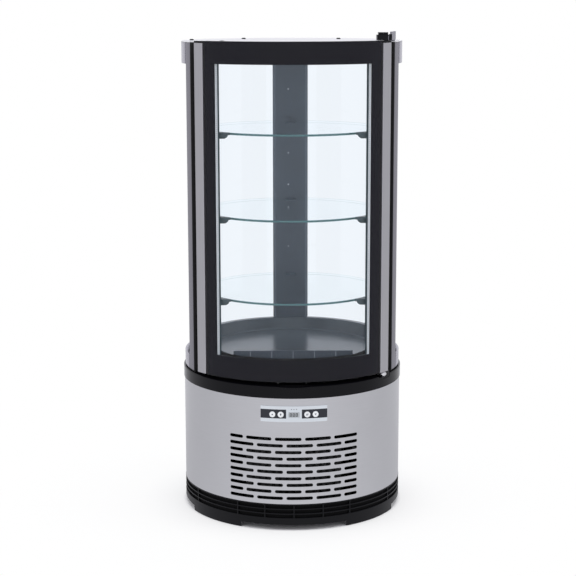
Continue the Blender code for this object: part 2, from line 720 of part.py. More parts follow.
def roof():
    """Flat roof sheet and the insulated ceiling below it."""
    half = SURROUND_HALF - LINING_SLACK
    corner = POST_FRONT - LINING_SLACK
    outline = arc(SURROUND_FRONT, -half, half, DOOR_STEP, DOOR_Y) + [polar(POST_RADIUS, corner)]
    outline += arc(BAND_RADIUS, BAND_START, 360.0 - BAND_START, RING_STEP)
    outline += [polar(POST_RADIUS, -corner)]
    place(plate("top_plate", [outline], ROOF_BASE, ROOF_THICKNESS), ROOF_GREY)
    inside = lining_outline(LINING_FRONT, POST_INNER - 2 * GAP)
    place(plate("ceiling_panel", [inside], CEILING, CEILING_THICKNESS), FOAM)


def door_surround():
    """Black frame that the door closes on: two jambs, a sill and a header in one piece."""
    front = arc(SURROUND_FRONT, -SURROUND_HALF, SURROUND_HALF, DOOR_STEP, DOOR_Y)
    back = arc(SURROUND_BACK, -SURROUND_HALF, SURROUND_HALF, DOOR_STEP, DOOR_Y)[::-1]
    near = POST_FRONT - LIP_SPAN
    far = POST_FRONT - LIP_PLAY
    lip = [polar(POST_RADIUS + LIP_PROUD, near), polar(POST_RADIUS + 2 * GAP, far),
           polar(POST_INNER + GAP, far), polar(POST_INNER - LIP_PROUD, near)]
    mirrored = [(-x, y) for x, y in lip[::-1]]
    surround = plate("door_surround", [front + lip + back + mirrored], CABIN_BASE, CABIN_HEIGHT)
    low = CABIN_BASE + SILL_HEIGHT
    high = CABIN_TOP - HEADER_HEIGHT
    opening = (2 * JAMB_EDGE, SURROUND_FRONT, high - low)
    cut(surround, block("doorway_cutter", opening, (0.0, DOOR_Y - SURROUND_FRONT, (low + high) / 2)))
    place(surround, SATIN_BLACK)


def insulated_tub():
    """Foamed tub under the cabin floor, open at the top, that holds the evaporator."""
    base = DECK - TUB_DEPTH
    inner = TUB_RADIUS - TUB_WALL
    flange = TUB_RADIUS + TUB_LIP
    low = CABIN_BASE
    rim = PAN_BASE - GAP
    collar = TUB_RADIUS - TUB_EASE
    profile = [(0.0, base + TUB_WALL), (inner, base + TUB_WALL), (inner, rim), (collar, rim),
               (collar, low + TUB_FLANGE), (flange, low + TUB_FLANGE), (flange, low),
               (TUB_RADIUS, low), (TUB_RADIUS, base), (0.0, base)]
    tub = turned("insulated_tub", profile, steps=HIDDEN_STEPS, closed=False)
    high = rim - low - TUB_FLANGE - PORT_MARGIN
    port = (2 * PORT_HALF, 3 * TUB_WALL, 2 * high)
    cut(tub, block("air_port_cutter", port, (0.0, TUB_RADIUS - TUB_WALL / 2, rim)))
    place(tub, FOAM)


def floor_pan():
    """Dark floor with its raised rim, air return and column notch."""
    low = PAN_BASE
    edge = FLOOR_RADIUS + PAN_WALL_FLARE
    skin = FLOOR_THICKNESS
    rim = POST_INNER - 3 * GAP
    profile = [(0.0, FLOOR), (FLOOR_RADIUS, FLOOR), (edge, PAN_TOP), (rim, PAN_TOP), (rim, PAN_TOP - skin),
               (edge + skin, PAN_TOP - skin), (FLOOR_RADIUS + skin, low), (0.0, low)]
    pan = turned("floor_pan", profile, closed=False)
    height = PAN_TOP - low + 2 * OVER
    keep = plate("pan_outline_cutter", [lining_outline(LINING_FRONT, rim + OVER)], low - OVER, height)
    boolean(pan, keep, "INTERSECT")
    notch = (2 * (COLUMN_HALF + 2 * GAP), 4 * OVER, 2 * OVER)
    cut(pan, block("column_notch_cutter", notch, (0.0, COLUMN_Y - 2 * GAP + 2 * OVER, PAN_TOP)))
    air = (2 * RETURN_HALF, RETURN_DEPTH, 4 * skin)
    cut(pan, block("air_return_cutter", air, (0.0, RETURN_FRONT + RETURN_DEPTH / 2, FLOOR - skin / 2)))
    place(pan, DARK_GREY)


def air_return_baffle():
    """Upright sheet across the front of the floor, with shallow ribs."""
    middle = FLOOR + GAP + BAFFLE_HEIGHT / 2
    sheet = (2 * BAFFLE_HALF, BAFFLE_SHEET, BAFFLE_HEIGHT)
    baffle = block("air_return_baffle", sheet, (0.0, BAFFLE_Y, middle))
    depth = BAFFLE_SHEET / 2 + RIB_DEPTH
    for k in range(BAFFLE_RIBS):
        x = (k - (BAFFLE_RIBS - 1) / 2) * BAFFLE_PITCH
        rib = (BAFFLE_RIB, depth, BAFFLE_HEIGHT - RIB_SHORT)
        join(baffle, block("baffle_rib_%d" % (k + 1), rib, (x, BAFFLE_Y - depth / 2, middle)))
    place(baffle, DARK_GREY)


def air_column():
    """Hollow duct that carries cold air up the back of the cabin."""
    y = COLUMN_Y
    back = math.sqrt(POST_RADIUS ** 2 - COLUMN_HALF ** 2) - 2 * GAP
    half = COLUMN_HALF
    inside = half - COLUMN_BEVEL
    outline = [(-inside, y), (inside, y), (half, y + COLUMN_BEVEL), (half, back), (-half, back),
               (-half, y + COLUMN_BEVEL)]
    top = CEILING - GAP
    column = plate("air_column", [outline], CABIN_BASE, top - CABIN_BASE)
    low = LOW_BAND_TOP + GAP
    high = TOP_BAND_BASE - GAP
    bulge = (2 * (half - BULGE_INSET), COLUMN_BACK + BULGE_ROOT, high - low)
    join(column, block("column_back", bulge, (0.0, back + (COLUMN_BACK - BULGE_ROOT) / 2, (low + high) / 2)))
    bore = (2 * inside, back - y - 2 * COLUMN_WALL, top - CABIN_BASE + 2 * OVER)
    cut(column, block("duct_cutter", bore, (0.0, (y + back) / 2, (top + CABIN_BASE) / 2)))
    low_port = CABIN_BASE + TUB_FLANGE + PORT_MARGIN
    high_port = PAN_BASE - PORT_MARGIN
    port = (2 * DUCT_HALF, OVER, high_port - low_port)
    cut(column, block("duct_port_cutter", port, (0.0, y, (low_port + high_port) / 2)))
    place(column, DARK_GREY)


def shelf_rail():
    """Punched rail up the column, with a rest for each shelf."""
    y = COLUMN_Y - GAP
    low = PAN_TOP + RAIL_MARGIN
    high = CEILING - RAIL_MARGIN
    middle = y - RAIL_SHEET / 2
    rail = block("shelf_rail", (2 * RAIL_HALF, RAIL_SHEET, high - low), (0.0, middle, (low + high) / 2))
    front = SHELF_RADIUS - REST_REACH
    for index, level in enumerate(SHELF_LEVELS):
        top = level - SHELF_GLASS / 2 - GAP
        rest = (2 * REST_HALF, middle - front, REST_SHEET)
        spot = (0.0, (middle + front) / 2, top - REST_SHEET / 2)
        join(rail, block("rail_rest_%d" % (index + 1), rest, spot))
    count = int((high - low - 2 * RAIL_FIRST) / RAIL_PITCH) + 1
    hole = block("rail_hole_cutter", (RAIL_HOLE, 4 * RAIL_SHEET, 2 * RAIL_HOLE), (0.0, y, low + RAIL_FIRST))
    cut(rail, in_row(hole, count, (0.0, 0.0, RAIL_PITCH)))
    place(rail, DARK_GREY)


def shelves():
    """Round glass shelves, each on two front clips and the rail behind."""
    for index, level in enumerate(SHELF_LEVELS):
        base = level - SHELF_GLASS / 2
        profile = [(0.0, SHELF_GLASS), (SHELF_RADIUS, SHELF_GLASS), (SHELF_RADIUS, 0.0), (0.0, 0.0)]
        shelf = turned("shelf_%d" % (index + 1), profile, closed=False, location=(0.0, 0.0, base))
        place(shelf, CLEAR)
        seat_radius = SHELF_RADIUS + GAP
        seat = [(0.0, 2 * OVER), (seat_radius, 2 * OVER), (seat_radius, 0.0), (0.0, 0.0)]
        height = CLIP_LEDGE + SHELF_GLASS + GAP
        for side, hand in ((-1, "left"), (1, "right")):
            spot = (side * CLIP_X, CLIP_FRONT + CLIP_DEPTH / 2, base - GAP - CLIP_LEDGE + height / 2)
            clip = block("shelf_clip_%s_%d" % (hand, index + 1), (CLIP_REACH, CLIP_DEPTH, height), spot)
            cut(clip, turned("clip_cutter_%s_%d" % (hand, index + 1), seat, closed=False,
                             location=(0.0, 0.0, base - GAP)))
            place(clip, SATIN_BLACK)


def door_part(name, inner, outer, half, base, height):
    """A level piece of the door's arc, as wide to the left as to the right."""
    return plate(name, [sector(inner, outer, -half, half, DOOR_STEP)], base, height, DOOR_Y)


def door(axis):
    """Double glazed curved door: two panes, the frame and spacer between them, gasket, strips and caps."""
    height = DOOR_TOP - DOOR_BASE
    outer = door_part("door_glass_outer", OUTER_PANE_BACK, DOOR_ARC, PANE_HALF, DOOR_BASE, height)
    place(outer, CLEAR, axis)
    inner = door_part("door_glass_inner", DOOR_BACK, INNER_PANE_FRONT, PANE_HALF, DOOR_BASE, height)
    place(inner, CLEAR, axis)
    back = INNER_PANE_FRONT + GAP
    frame = door_part("door_frame", back, OUTER_PANE_BACK - GAP, PANE_HALF, DOOR_BASE, height)
    low = DOOR_BASE + FRAME_LOW
    high = DOOR_TOP - FRAME_HIGH
    cut(frame, door_part("frame_cutter", DOOR_BACK, DOOR_ARC, FRAME_SIDE, low, high - low))
    place(frame, SATIN_BLACK, axis)
    middle = (INNER_PANE_FRONT + OUTER_PANE_BACK) / 2
    half = SPACER_DEPTH / 2
    tall = high - low - 2 * GAP
    spacer = door_part("door_spacer", middle - half, middle + half, SPACER_OUTER, low + GAP, tall)
    cut(spacer, door_part("spacer_cutter", DOOR_BACK, DOOR_ARC, SPACER_INNER, low + SPACER_BAR,
                          high - low - 2 * SPACER_BAR))
    place(spacer, SILVER, axis)
    low = DOOR_BASE + GASKET_EDGE
    tall = height - 2 * GASKET_EDGE
    gasket = door_part("door_gasket", GASKET_BACK, DOOR_BACK - GAP, GASKET_OUTER, low, tall)
    cut(gasket, door_part("gasket_cutter", SURROUND_BACK, OUTER_PANE_BACK, GASKET_INNER, low + GASKET_BAR,
                          tall - 2 * GASKET_BAR))
    place(gasket, RUBBER, axis)
    door_strips(axis)


def pin_bore(name, low, high):
    """Cutter for the bore that a hinge pin turns in."""
    return rod(name, PIN_RADIUS + PIN_PLAY, (HINGE_X, HINGE_Y, low), (HINGE_X, HINGE_Y, high))


def door_strips(axis):
    """Aluminium strips along the glass edges, each with a black cap; the right pair turns on the pins."""
    height = DOOR_TOP - DOOR_BASE - CAP_HEIGHT - GAP
    depth = PIN_LENGTH + PIN_REACH
    for side, hand in ((-1, "left"), (1, "right")):
        ends = sorted((side * STRIP_START, side * STRIP_END))
        outline = sector(DOOR_ARC - STRIP_DEPTH, DOOR_ARC, ends[0], ends[1], DOOR_STEP)
        strip = plate("door_strip_" + hand, [outline], DOOR_BASE, height, DOOR_Y)
        cap = plate("door_cap_" + hand, [outline], DOOR_BASE + height + GAP, CAP_HEIGHT, DOOR_Y)
        if hand == "right":
            cut(strip, pin_bore("low_bore_cutter", DOOR_BASE - OVER, DOOR_BASE + depth))
            cut(strip, pin_bore("high_bore_cutter", DOOR_TOP - depth, DOOR_TOP + OVER))
            cut(cap, pin_bore("cap_bore_cutter", DOOR_TOP - depth, DOOR_TOP + OVER))
        place(strip, SILVER, axis)
        place(cap, GLOSS_BLACK, axis)


def lower_hinge():
    """Bracket let into the collar, and the domed pivot that the door stands on."""
    floor = DECK - HINGE_NOTCH + GAP
    top = floor + BRACKET_SHEET
    face = COLLAR_RADIUS - GAP
    slack = math.degrees(1.5 * GAP / face)
    start = HINGE_BEARING - POCKET_HALF + slack
    end = HINGE_BEARING + POCKET_HALF - slack
    outline = sector(POCKET_RADIUS + GAP, face, start, end, RING_STEP)
    bracket = plate("hinge_bracket_low", [outline], floor, BRACKET_SHEET)
    tab = sector(face - TAB_DEPTH, face - GAP, HINGE_BEARING + TAB_START, end - slack, RING_STEP)
    root = top - BRACKET_SHEET / 2
    join(bracket, plate("bracket_tab", [tab], root, DOOR_BASE - GAP - root))
    cut(bracket, rod("low_socket_cutter", PIN_RADIUS + GAP / 2, (HINGE_X, HINGE_Y, floor - OVER),
                     (HINGE_X, HINGE_Y, top + OVER)))
    place(bracket, SATIN_BLACK)
    base = top + GAP
    crown = DOOR_BASE - GAP
    waist = base + (crown - base) * KNOB_WAIST
    tuck = base + (waist - base) / 2
    tip = DOOR_BASE + PIN_LENGTH
    profile = [(0.0, tip), (PIN_RADIUS, tip), (PIN_RADIUS, crown), (KNOB_RADIUS, crown), (KNOB_RADIUS, waist),
               (KNOB_RADIUS - KNOB_ROUND, tuck), (KNOB_FOOT, base), (PIN_RADIUS, base),
               (PIN_RADIUS, floor + GAP), (0.0, floor + GAP)]
    pin = turned("hinge_pin_low", profile, steps=PIN_SIDES, closed=False, location=(HINGE_X, HINGE_Y, 0.0))
    place(pin, CHROME)


def ribbon(points, thickness):
    """Outline of a strip of even thickness, laid to the right of a run of points."""
    right = []
    for index, point in enumerate(points):
        before = Vector(points[max(index - 1, 0)])
        after = Vector(points[min(index + 1, len(points) - 1)])
        along = (after - before).normalized()
        right.append((point[0] + along.y * thickness, point[1] - along.x * thickness))
    return list(points) + right[::-1]


def upper_hinge():
    """Steel bracket on the roof with its pin, and the black cover over it."""
    arm_base = DOOR_TOP + 2 * GAP
    foot_base = ROOF_TOP + GAP
    bend_y = HINGE_Y - FIN_AHEAD + FIN_REACH
    end_y = bend_y + FOOT_LENGTH
    wide = HINGE_X + FIN_SPREAD
    run = [(HINGE_X + FIN_SIDE, HINGE_Y - FIN_AHEAD), (wide, bend_y), (wide, end_y)]
    bracket = plate("hinge_bracket_top", [ribbon(run, FIN_THICKNESS)], arm_base, FIN_HEIGHT - 2 * GAP)
    foot_right = wide + FIN_THICKNESS / 2
    foot_deep = FOOT_LENGTH - FIN_THICKNESS
    foot = block("bracket_foot", (FOOT_WIDTH, foot_deep, ARM_THICKNESS),
                 (foot_right - FOOT_WIDTH / 2, end_y - foot_deep / 2, foot_base + ARM_THICKNESS / 2))
    join(bracket, foot)
    left = HINGE_X - 2 * PIN_RADIUS
    right = HINGE_X + FIN_SIDE + FIN_THICKNESS
    arm = block("bracket_arm", (right - left, ARM_AHEAD + ARM_BEHIND, ARM_THICKNESS),
                ((left + right) / 2, HINGE_Y + (ARM_BEHIND - ARM_AHEAD) / 2, arm_base + ARM_THICKNESS / 2))
    join(bracket, arm)
    pin = rod("bracket_pin", PIN_RADIUS, (HINGE_X, HINGE_Y, DOOR_TOP - PIN_LENGTH),
              (HINGE_X, HINGE_Y, arm_base + ARM_THICKNESS / 2))
    join(bracket, pin)
    place(bracket, SILVER)
    hinge_cover(arm_base)


def hinge_cover(base):
    """Two-step cap over the arm, hollow where the arm passes."""
    step = DOOR_TOP + COVER_STEP
    top = DOOR_TOP + COVER_HEIGHT
    wide = COVER_INSIDE + COVER_OUTSIDE
    deep = COVER_AHEAD + COVER_BEHIND
    x = HINGE_X + (COVER_OUTSIDE - COVER_INSIDE) / 2
    y = HINGE_Y + (COVER_BEHIND - COVER_AHEAD) / 2
    cover = block("hinge_cover", (wide, deep, step - base), (x, y, (step + base) / 2))
    upper = (wide - 2 * COVER_TAPER, deep - 2 * COVER_TAPER, top - base - GAP)
    join(cover, block("cover_upper", upper, (x, y, (top + base + GAP) / 2)))
    play = 3 * GAP
    inner = HINGE_X - 2 * PIN_RADIUS - play
    outer = HINGE_X + 2 * COVER_OUTSIDE
    hollow = (outer - inner, ARM_AHEAD + ARM_BEHIND + 2 * play, 2 * (ARM_THICKNESS + GAP))
    spot = ((inner + outer) / 2, HINGE_Y + (ARM_BEHIND - ARM_AHEAD) / 2, base)
    cut(cover, block("cover_cutter", hollow, spot))
    place(cover, SATIN_BLACK)


def control_panel():
    """Thin curved panel with four push buttons and a display window, and the box behind it."""
    outer = BODY_RADIUS + GAP + PANEL_SHEET
    reach = math.degrees(PANEL_HALF / BODY_RADIUS)
    low = PANEL_MIDDLE - PANEL_HEIGHT / 2
    outline = sector(BODY_RADIUS + GAP, outer, -reach, reach, RING_STEP)
    panel = plate("control_panel", [outline], low, PANEL_HEIGHT)
    display_z = PANEL_MIDDLE - DISPLAY_DROP
    window = (2 * (DISPLAY_HALF + GAP), 2 * OVER, DISPLAY_HEIGHT + 2 * GAP)
    cut(panel, block("display_cutter", window, (0.0, -BODY_RADIUS, display_z)))
    display = block("display", (2 * DISPLAY_HALF, DISPLAY_DEPTH, DISPLAY_HEIGHT),
                    (0.0, DISPLAY_DEPTH / 2 - outer - DISPLAY_PROUD, display_z))
    place(display, DISPLAY_BLACK)
    button_z = PANEL_MIDDLE - BUTTON_DROP
    for index, along in enumerate((-BUTTON_FAR, -BUTTON_NEAR, BUTTON_NEAR, BUTTON_FAR)):
        bearing = math.degrees(along / BODY_RADIUS)
        out = polar(outer + BUTTON_PROUD, bearing)
        back = polar(outer + BUTTON_PROUD - BUTTON_LENGTH, bearing)
        near = polar(outer - OVER, bearing)
        far = polar(outer + OVER, bearing)
        cut(panel, rod("button_cutter_%d" % (index + 1), BUTTON_RADIUS + RUNNING, (*near, button_z),
                       (*far, button_z)))
        seat = axis_point("button_axis_%d" % (index + 1), (*out, button_z))
        place(rod("button_%d" % (index + 1), BUTTON_RADIUS, (*back, button_z), (*out, button_z)), WHITE, seat)
    place(panel, PANEL_GREY)
    control_box()


def skin_face(x):
    """Y of the skin's inner face, flat by flat, at a distance from the middle."""
    step = math.radians(RING_STEP)
    middle = (math.floor(math.asin(x / SKIN_INNER) / step) + 0.5) * step
    return -(SKIN_INNER * math.cos(step / 2) - x * math.sin(middle)) / math.cos(middle)


def control_box():
    """Housing of the circuit board, on two ears that meet the skin beside the opening."""
    front = BOX_BACK - BODY_RADIUS
    end = front + BOX_DEPTH / 2
    box = block("control_box", (2 * BOX_HALF, BOX_DEPTH, BOX_HEIGHT), (0.0, end, PANEL_MIDDLE))
    tip = skin_face(BOX_HALF + BOX_EAR) + GAP
    for side, hand in ((-1, "left"), (1, "right")):
        ear = (2 * BOX_EAR, end - tip, BOX_HEIGHT / 2)
        join(box, block("box_ear_" + hand, ear, (side * BOX_HALF, (tip + end) / 2, PANEL_MIDDLE)))
    place(box, WHITE)


def comb(name, size, centre):
    """Finned block: narrow cuts from the front and back leave a solid core."""
    body = block(name, size, centre)
    pitch = size[0] / FIN_COUNT
    for side, face in ((-1, "front"), (1, "back")):
        first = (centre[0] - size[0] / 2 + pitch, centre[1] + side * size[1] / 2, centre[2])
        slot = block("%s_%s_cutter" % (name, face), (FIN_SLOT, 2 * FIN_CUT, size[2] + OVER), first)
        cut(body, in_row(slot, FIN_COUNT - 1, (pitch, 0.0, 0.0)))
    place(body, FIN_METAL)


def rotor(name, centre, radius, hub, depth):
    """Fan wheel about an axis along Y, its origin on the axis."""
    x, y, z = centre
    wheel = rod(name, hub, (x, y - depth / 2, z), (x, y + depth / 2, z), sides=MOTOR_SIDES)
    length = radius - hub / 2
    lean = Matrix.Rotation(math.radians(BLADE_PITCH), 4, "X")
    for k in range(FAN_BLADES):
        sheet = (length, BLADE_SHEET, hub * BLADE_CHORD)
        blade = block("%s_blade_%d" % (name, k + 1), sheet, (0.0, 0.0, 0.0))
        spin = Matrix.Rotation(math.tau * k / FAN_BLADES, 4, "Y")
        out = Matrix.Translation(((hub + length) / 2, 0.0, 0.0))
        blade.matrix_world = Matrix.Translation(centre) @ spin @ out @ lean
        join(wheel, blade)
    cut(wheel, rod(name + "_bore_cutter", SHAFT_RADIUS + SHAFT_PLAY, (x, y - depth / 6, z), (x, y + depth, z),
                   sides=SHAFT_SIDES))
    place(wheel, SATIN_BLACK, axis_point(name + "_axis", centre))


def fan_frame(name, centre, size, mouth, motor_radius, motor_length, fan_room):
    """Shroud plate with a round mouth, and behind it a bar with the motor and its shaft."""
    x, y, z = centre
    frame = block(name, size, centre)
    face = y + size[1] / 2
    cut(frame, rod(name + "_mouth_cutter", mouth, (x, y - OVER, z), (x, y + OVER, z), sides=MOUTH_SIDES))
    back = face + fan_room
    leg_length = LEG_ROOT + fan_room + BAR_SHEET
    for side, hand in ((-1, "left"), (1, "right")):
        leg = (LEG_WIDTH, leg_length, LEG_HEIGHT)
        spot = (x + side * (mouth + LEG_WIDTH), face - LEG_ROOT + leg_length / 2, z)
        join(frame, block("%s_leg_%s" % (name, hand), leg, spot))
    bar = (2 * mouth + 3 * LEG_WIDTH, BAR_SHEET, LEG_HEIGHT)
    join(frame, block(name + "_bar", bar, (x, back + BAR_SHEET / 2, z)))
    rear = back + motor_length
    join(frame, rod(name + "_motor", motor_radius, (x, back, z), (x, rear, z), sides=MOTOR_SIDES))
    join(frame, rod(name + "_shaft", SHAFT_RADIUS, (x, face + fan_room / 2, z), (x, back + BAR_SHEET, z),
                    sides=SHAFT_SIDES))
    place(frame, GALVANISED)


def compressor(base):
    """Welded pot with domed ends and a seam round its middle."""
    top = base + POT_HEIGHT
    wall = POT_SHELL
    seam = POT_RADIUS + POT_SEAM / 2
    dome = POT_RADIUS / 5
    high = top - 2 * dome
    low = base + 2 * dome
    belt = base + POT_HEIGHT / 2
    pot = [(0.0, top), (wall - 2 * dome, top), (wall - dome, top - dome / 2), (wall, high),
           (wall, belt + POT_SEAM), (seam, belt + POT_SEAM), (seam, belt - POT_SEAM), (wall, belt - POT_SEAM),
           (wall, low), (wall - dome, base + dome / 2), (wall - dome, base), (0.0, base)]
    place(turned("compressor", pot, steps=POT_SIDES, closed=False, location=(POT_X, POT_Y, 0.0)), POT_BLACK)


def machinery():
    """Condenser, its fan, compressor, evaporator, its fan and the two pipes."""
    base = PLATE_TOP + GAP
    comb("condenser_coil", (CONDENSER_WIDTH, CONDENSER_DEPTH, CONDENSER_HEIGHT),
         (0.0, CONDENSER_Y, base + CONDENSER_HEIGHT / 2))
    fan_z = base + FAN_PLATE / 2
    room = FAN_DEPTH + 2 * FAN_TIP
    fan_frame("condenser_fan_frame", (0.0, FAN_Y, fan_z), (FAN_PLATE, FAN_SHEET, FAN_PLATE),
              FAN_RADIUS + FAN_TIP, MOTOR_RADIUS, MOTOR_LENGTH, room)
    rotor("condenser_fan", (0.0, FAN_Y + FAN_SHEET / 2 + room / 2, fan_z), FAN_RADIUS, FAN_HUB, FAN_DEPTH)
    compressor(base)
    floor = TUB_FLOOR + GAP
    comb("evaporator_coil", (COIL_WIDTH, COIL_DEPTH, COIL_HEIGHT), (0.0, COIL_Y, floor + COIL_HEIGHT / 2))
    blower_z = floor + BLOWER_HEIGHT / 2
    room = BLOWER_DEPTH + 2 * BLOWER_SHEET
    fan_frame("evaporator_fan_frame", (0.0, BLOWER_Y, blower_z), (BLOWER_WIDTH, BLOWER_SHEET, BLOWER_HEIGHT),
              BLOWER_RADIUS + BLOWER_SHEET, BLOWER_HUB, BLOWER_MOTOR, room)
    blower_y = BLOWER_Y + BLOWER_SHEET / 2 + room / 2
    rotor("evaporator_fan", (0.0, blower_y, blower_z), BLOWER_RADIUS, BLOWER_HUB, BLOWER_DEPTH)
    pipes(base)


def pipe(name, points):
    """Copper tube along a run of points."""
    data = bpy.data.curves.new(name, "CURVE")
    data.dimensions = "3D"
    data.bevel_depth = PIPE_RADIUS
    data.bevel_resolution = 1
    data.use_fill_caps = True
    spline = data.splines.new("POLY")
    spline.points.add(len(points) - 1)
    for point, co in zip(spline.points, points):
        point.co = (*co, 1.0)
    made = curve_to_mesh(bpy.data.objects.new(name, data))
    smooth(made.data, 50.0)
    place(made, COPPER)


def rounded_route(corners, turns=4):
    """Points of a route through corners, each rounded."""
    route = [Vector(corners[0])]
    for before, at, after in zip(corners, corners[1:], corners[2:]):
        at = Vector(at)
        into = (Vector(before) - at).normalized() * PIPE_BEND
        away = (Vector(after) - at).normalized() * PIPE_BEND
        for k in range(turns + 1):
            t = k / turns
            route.append(at + into * (1 - t) ** 2 + away * t ** 2)
    route.append(Vector(corners[-1]))
    return [tuple(p) for p in route]


def pipes(base):
    """Hot gas line to the condenser and suction line from the evaporator."""
    high = base + POT_HEIGHT / 4 + POT_SEAM
    condenser_side = CONDENSER_WIDTH / 2
    side = condenser_side + PIPE_RADIUS + PIPE_CLEAR
    start = POT_X + POT_SHELL + GAP
    out = start + HOT_OUT
    hot = [(start, POT_Y, high), (out, POT_Y, high), (out, POT_Y - HOT_AHEAD, high),
           (side, CONDENSER_Y, high), (condenser_side + GAP, CONDENSER_Y, high)]
    pipe("discharge_pipe", rounded_route(hot))
    left = POT_X - POT_SHELL - GAP
    under = DECK - TUB_DEPTH - GAP
    cold = [(left, POT_Y, high), (left - SUCTION_OUT, POT_Y, high), (left - SUCTION_OUT, POT_Y, under)]
    pipe("suction_pipe", rounded_route(cold))


def power_inlet():
    """Flanged power socket in the back of the skin."""
    flange = (2 * (INLET_HALF + INLET_FLANGE), INLET_SHEET, INLET_TALL + 2 * INLET_FLANGE)
    middle = BODY_RADIUS + GAP + INLET_SHEET / 2
    inlet = block("power_inlet", flange, (0.0, middle, INLET_Z))
    end = middle - INLET_DEPTH
    body = (2 * INLET_HALF, INLET_DEPTH, INLET_TALL)
    join(inlet, block("inlet_body", body, (0.0, (middle + end) / 2, INLET_Z)))
    mouth_end = end + INLET_FLOOR
    outside = middle + OVER
    mouth = (2 * (INLET_HALF - INLET_WALL), outside - mouth_end, INLET_TALL - 2 * INLET_WALL)
    cut(inlet, block("inlet_cutter", mouth, (0.0, (outside + mouth_end) / 2, INLET_Z)))
    place(inlet, SATIN_BLACK)


def build():
    """Make every piece, from the floor up."""
    base_skirt()
    base_plate()
    steel_skin()
    collar_ring()
    bands()
    posts()
    rear_glass()
    roof()
    door_surround()
    insulated_tub()
    floor_pan()
    air_return_baffle()
    air_column()
    shelf_rail()
    shelves()
    door(axis_point("door_hinge_axis", (HINGE_X, HINGE_Y, DOOR_BASE)))
    lower_hinge()
    upper_hinge()
    control_panel()
    machinery()
    power_inlet()


build()
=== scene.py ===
"""Looks of the round refrigerated display case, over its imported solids.

Every piece is drawn in metres in the frame of the solids: +Z up, the door towards -Y.  Bearings are in degrees,
measured from -Y towards +X.  A piece that is ringed round the case is drawn in fine steps, with normals worked out
from its own axis, so that its reflections run round it without facets.
"""
import logging
import math
from collections.abc import Callable, Iterable, Sequence
from dataclasses import dataclass, field
from enum import Enum

import bmesh
import bpy
from mathutils import Matrix, Vector


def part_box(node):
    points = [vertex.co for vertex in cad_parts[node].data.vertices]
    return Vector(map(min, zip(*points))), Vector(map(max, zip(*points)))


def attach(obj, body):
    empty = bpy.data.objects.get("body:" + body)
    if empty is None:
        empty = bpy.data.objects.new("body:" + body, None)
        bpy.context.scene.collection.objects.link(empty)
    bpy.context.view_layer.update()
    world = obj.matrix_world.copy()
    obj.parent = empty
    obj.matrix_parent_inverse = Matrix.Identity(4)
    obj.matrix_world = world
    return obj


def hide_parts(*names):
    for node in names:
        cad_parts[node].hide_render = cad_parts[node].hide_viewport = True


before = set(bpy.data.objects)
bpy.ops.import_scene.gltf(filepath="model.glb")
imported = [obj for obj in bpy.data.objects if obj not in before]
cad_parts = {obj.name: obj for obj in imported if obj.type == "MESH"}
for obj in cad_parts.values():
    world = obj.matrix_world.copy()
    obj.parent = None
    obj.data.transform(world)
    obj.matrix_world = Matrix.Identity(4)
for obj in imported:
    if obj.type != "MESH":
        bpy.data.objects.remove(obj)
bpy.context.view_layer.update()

LOG = logging.getLogger("display_case")
FINE = 1.5                # degrees, one step round the case
CONTACT = 0.00005         # a hair of room under applied parts
SHARP = 30.0              # degrees, a fold that is sharper stays an edge
WELD = 0.000002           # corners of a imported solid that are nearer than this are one
CLEAR = 0.01              # how far a cutter passes what it cuts
SMOOTH = 240              # sides of a wide round
MM = 0.001

Pair = tuple[float, float]
Plan = list[Pair]
Point = tuple[float, float, float]
Round = tuple[float, float, float]      # radius, height and rounding of a stud
Solid = bmesh.types.BMesh
Piece = bpy.types.Object
Tree = bpy.types.NodeTree
Output = tuple[bpy.types.Node, str]
WHITE = (1.0, 1.0, 1.0, 1.0)
ORIGIN = (0.0, 0.0, 0.0)


class Side(Enum):
    """Left or right half of the case, as seen from the front."""

    LEFT = -1
    RIGHT = 1

    @property
    def hand(self) -> str:
        """The word for it in the names of the solids."""
        return self.name.lower()


class Grain(Enum):
    """Direction in which a surface was rolled, drawn or moulded, as stretches of its pattern along X, Y and Z."""

    EVEN = (1.0, 1.0, 1.0)
    ROUND = (0.02, 0.02, 1.0)
    UPRIGHT = (1.0, 1.0, 0.01)


def linear(code: str) -> tuple[float, float, float, float]:
    """Turn an sRGB hex colour to the linear colour that a shader takes.

    Args:
        code: Six hex digits, such as "B4B2B8".

    Returns:
        Red, green, blue and an alpha of one.
    """
    parts = [int(code[k:k + 2], 16) / 255 for k in (0, 2, 4)]
    red, green, blue = [c / 12.92 if c <= 0.04045 else ((c + 0.055) / 1.055) ** 2.4 for c in parts]
    return (red, green, blue, 1.0)


def add_node(tree: Tree, kind: str, settings: dict | None = None,
             links: dict | None = None) -> bpy.types.Node:
    """Add a node with its settings and links.

    Args:
        tree: The node tree to add it to.
        kind: The node's type, without the leading "ShaderNode".
        settings: Values by the name of a property or an input, or by the number of an input.
        links: Other nodes' outputs, as (node, output), by the name or number of an input.

    Returns:
        The new node.
    """
    node = tree.nodes.new("ShaderNode" + kind)
    for key, value in (settings or {}).items():
        if isinstance(key, int) or key in node.inputs:
            node.inputs[key].default_value = value
        else:
            setattr(node, key, value)
    for key, (other, output) in (links or {}).items():
        tree.links.new(other.outputs[output], node.inputs[key])
    return node


def blank_material(name: str) -> tuple[bpy.types.Material, Tree, bpy.types.Node]:
    """Make an empty material.

    Args:
        name: The finish's name.

    Returns:
        The material, its node tree and its output node.
    """
    material = bpy.data.materials.new(name)
    material.use_nodes = True
    tree = material.node_tree
    tree.nodes.clear()
    return material, tree, add_node(tree, "OutputMaterial")


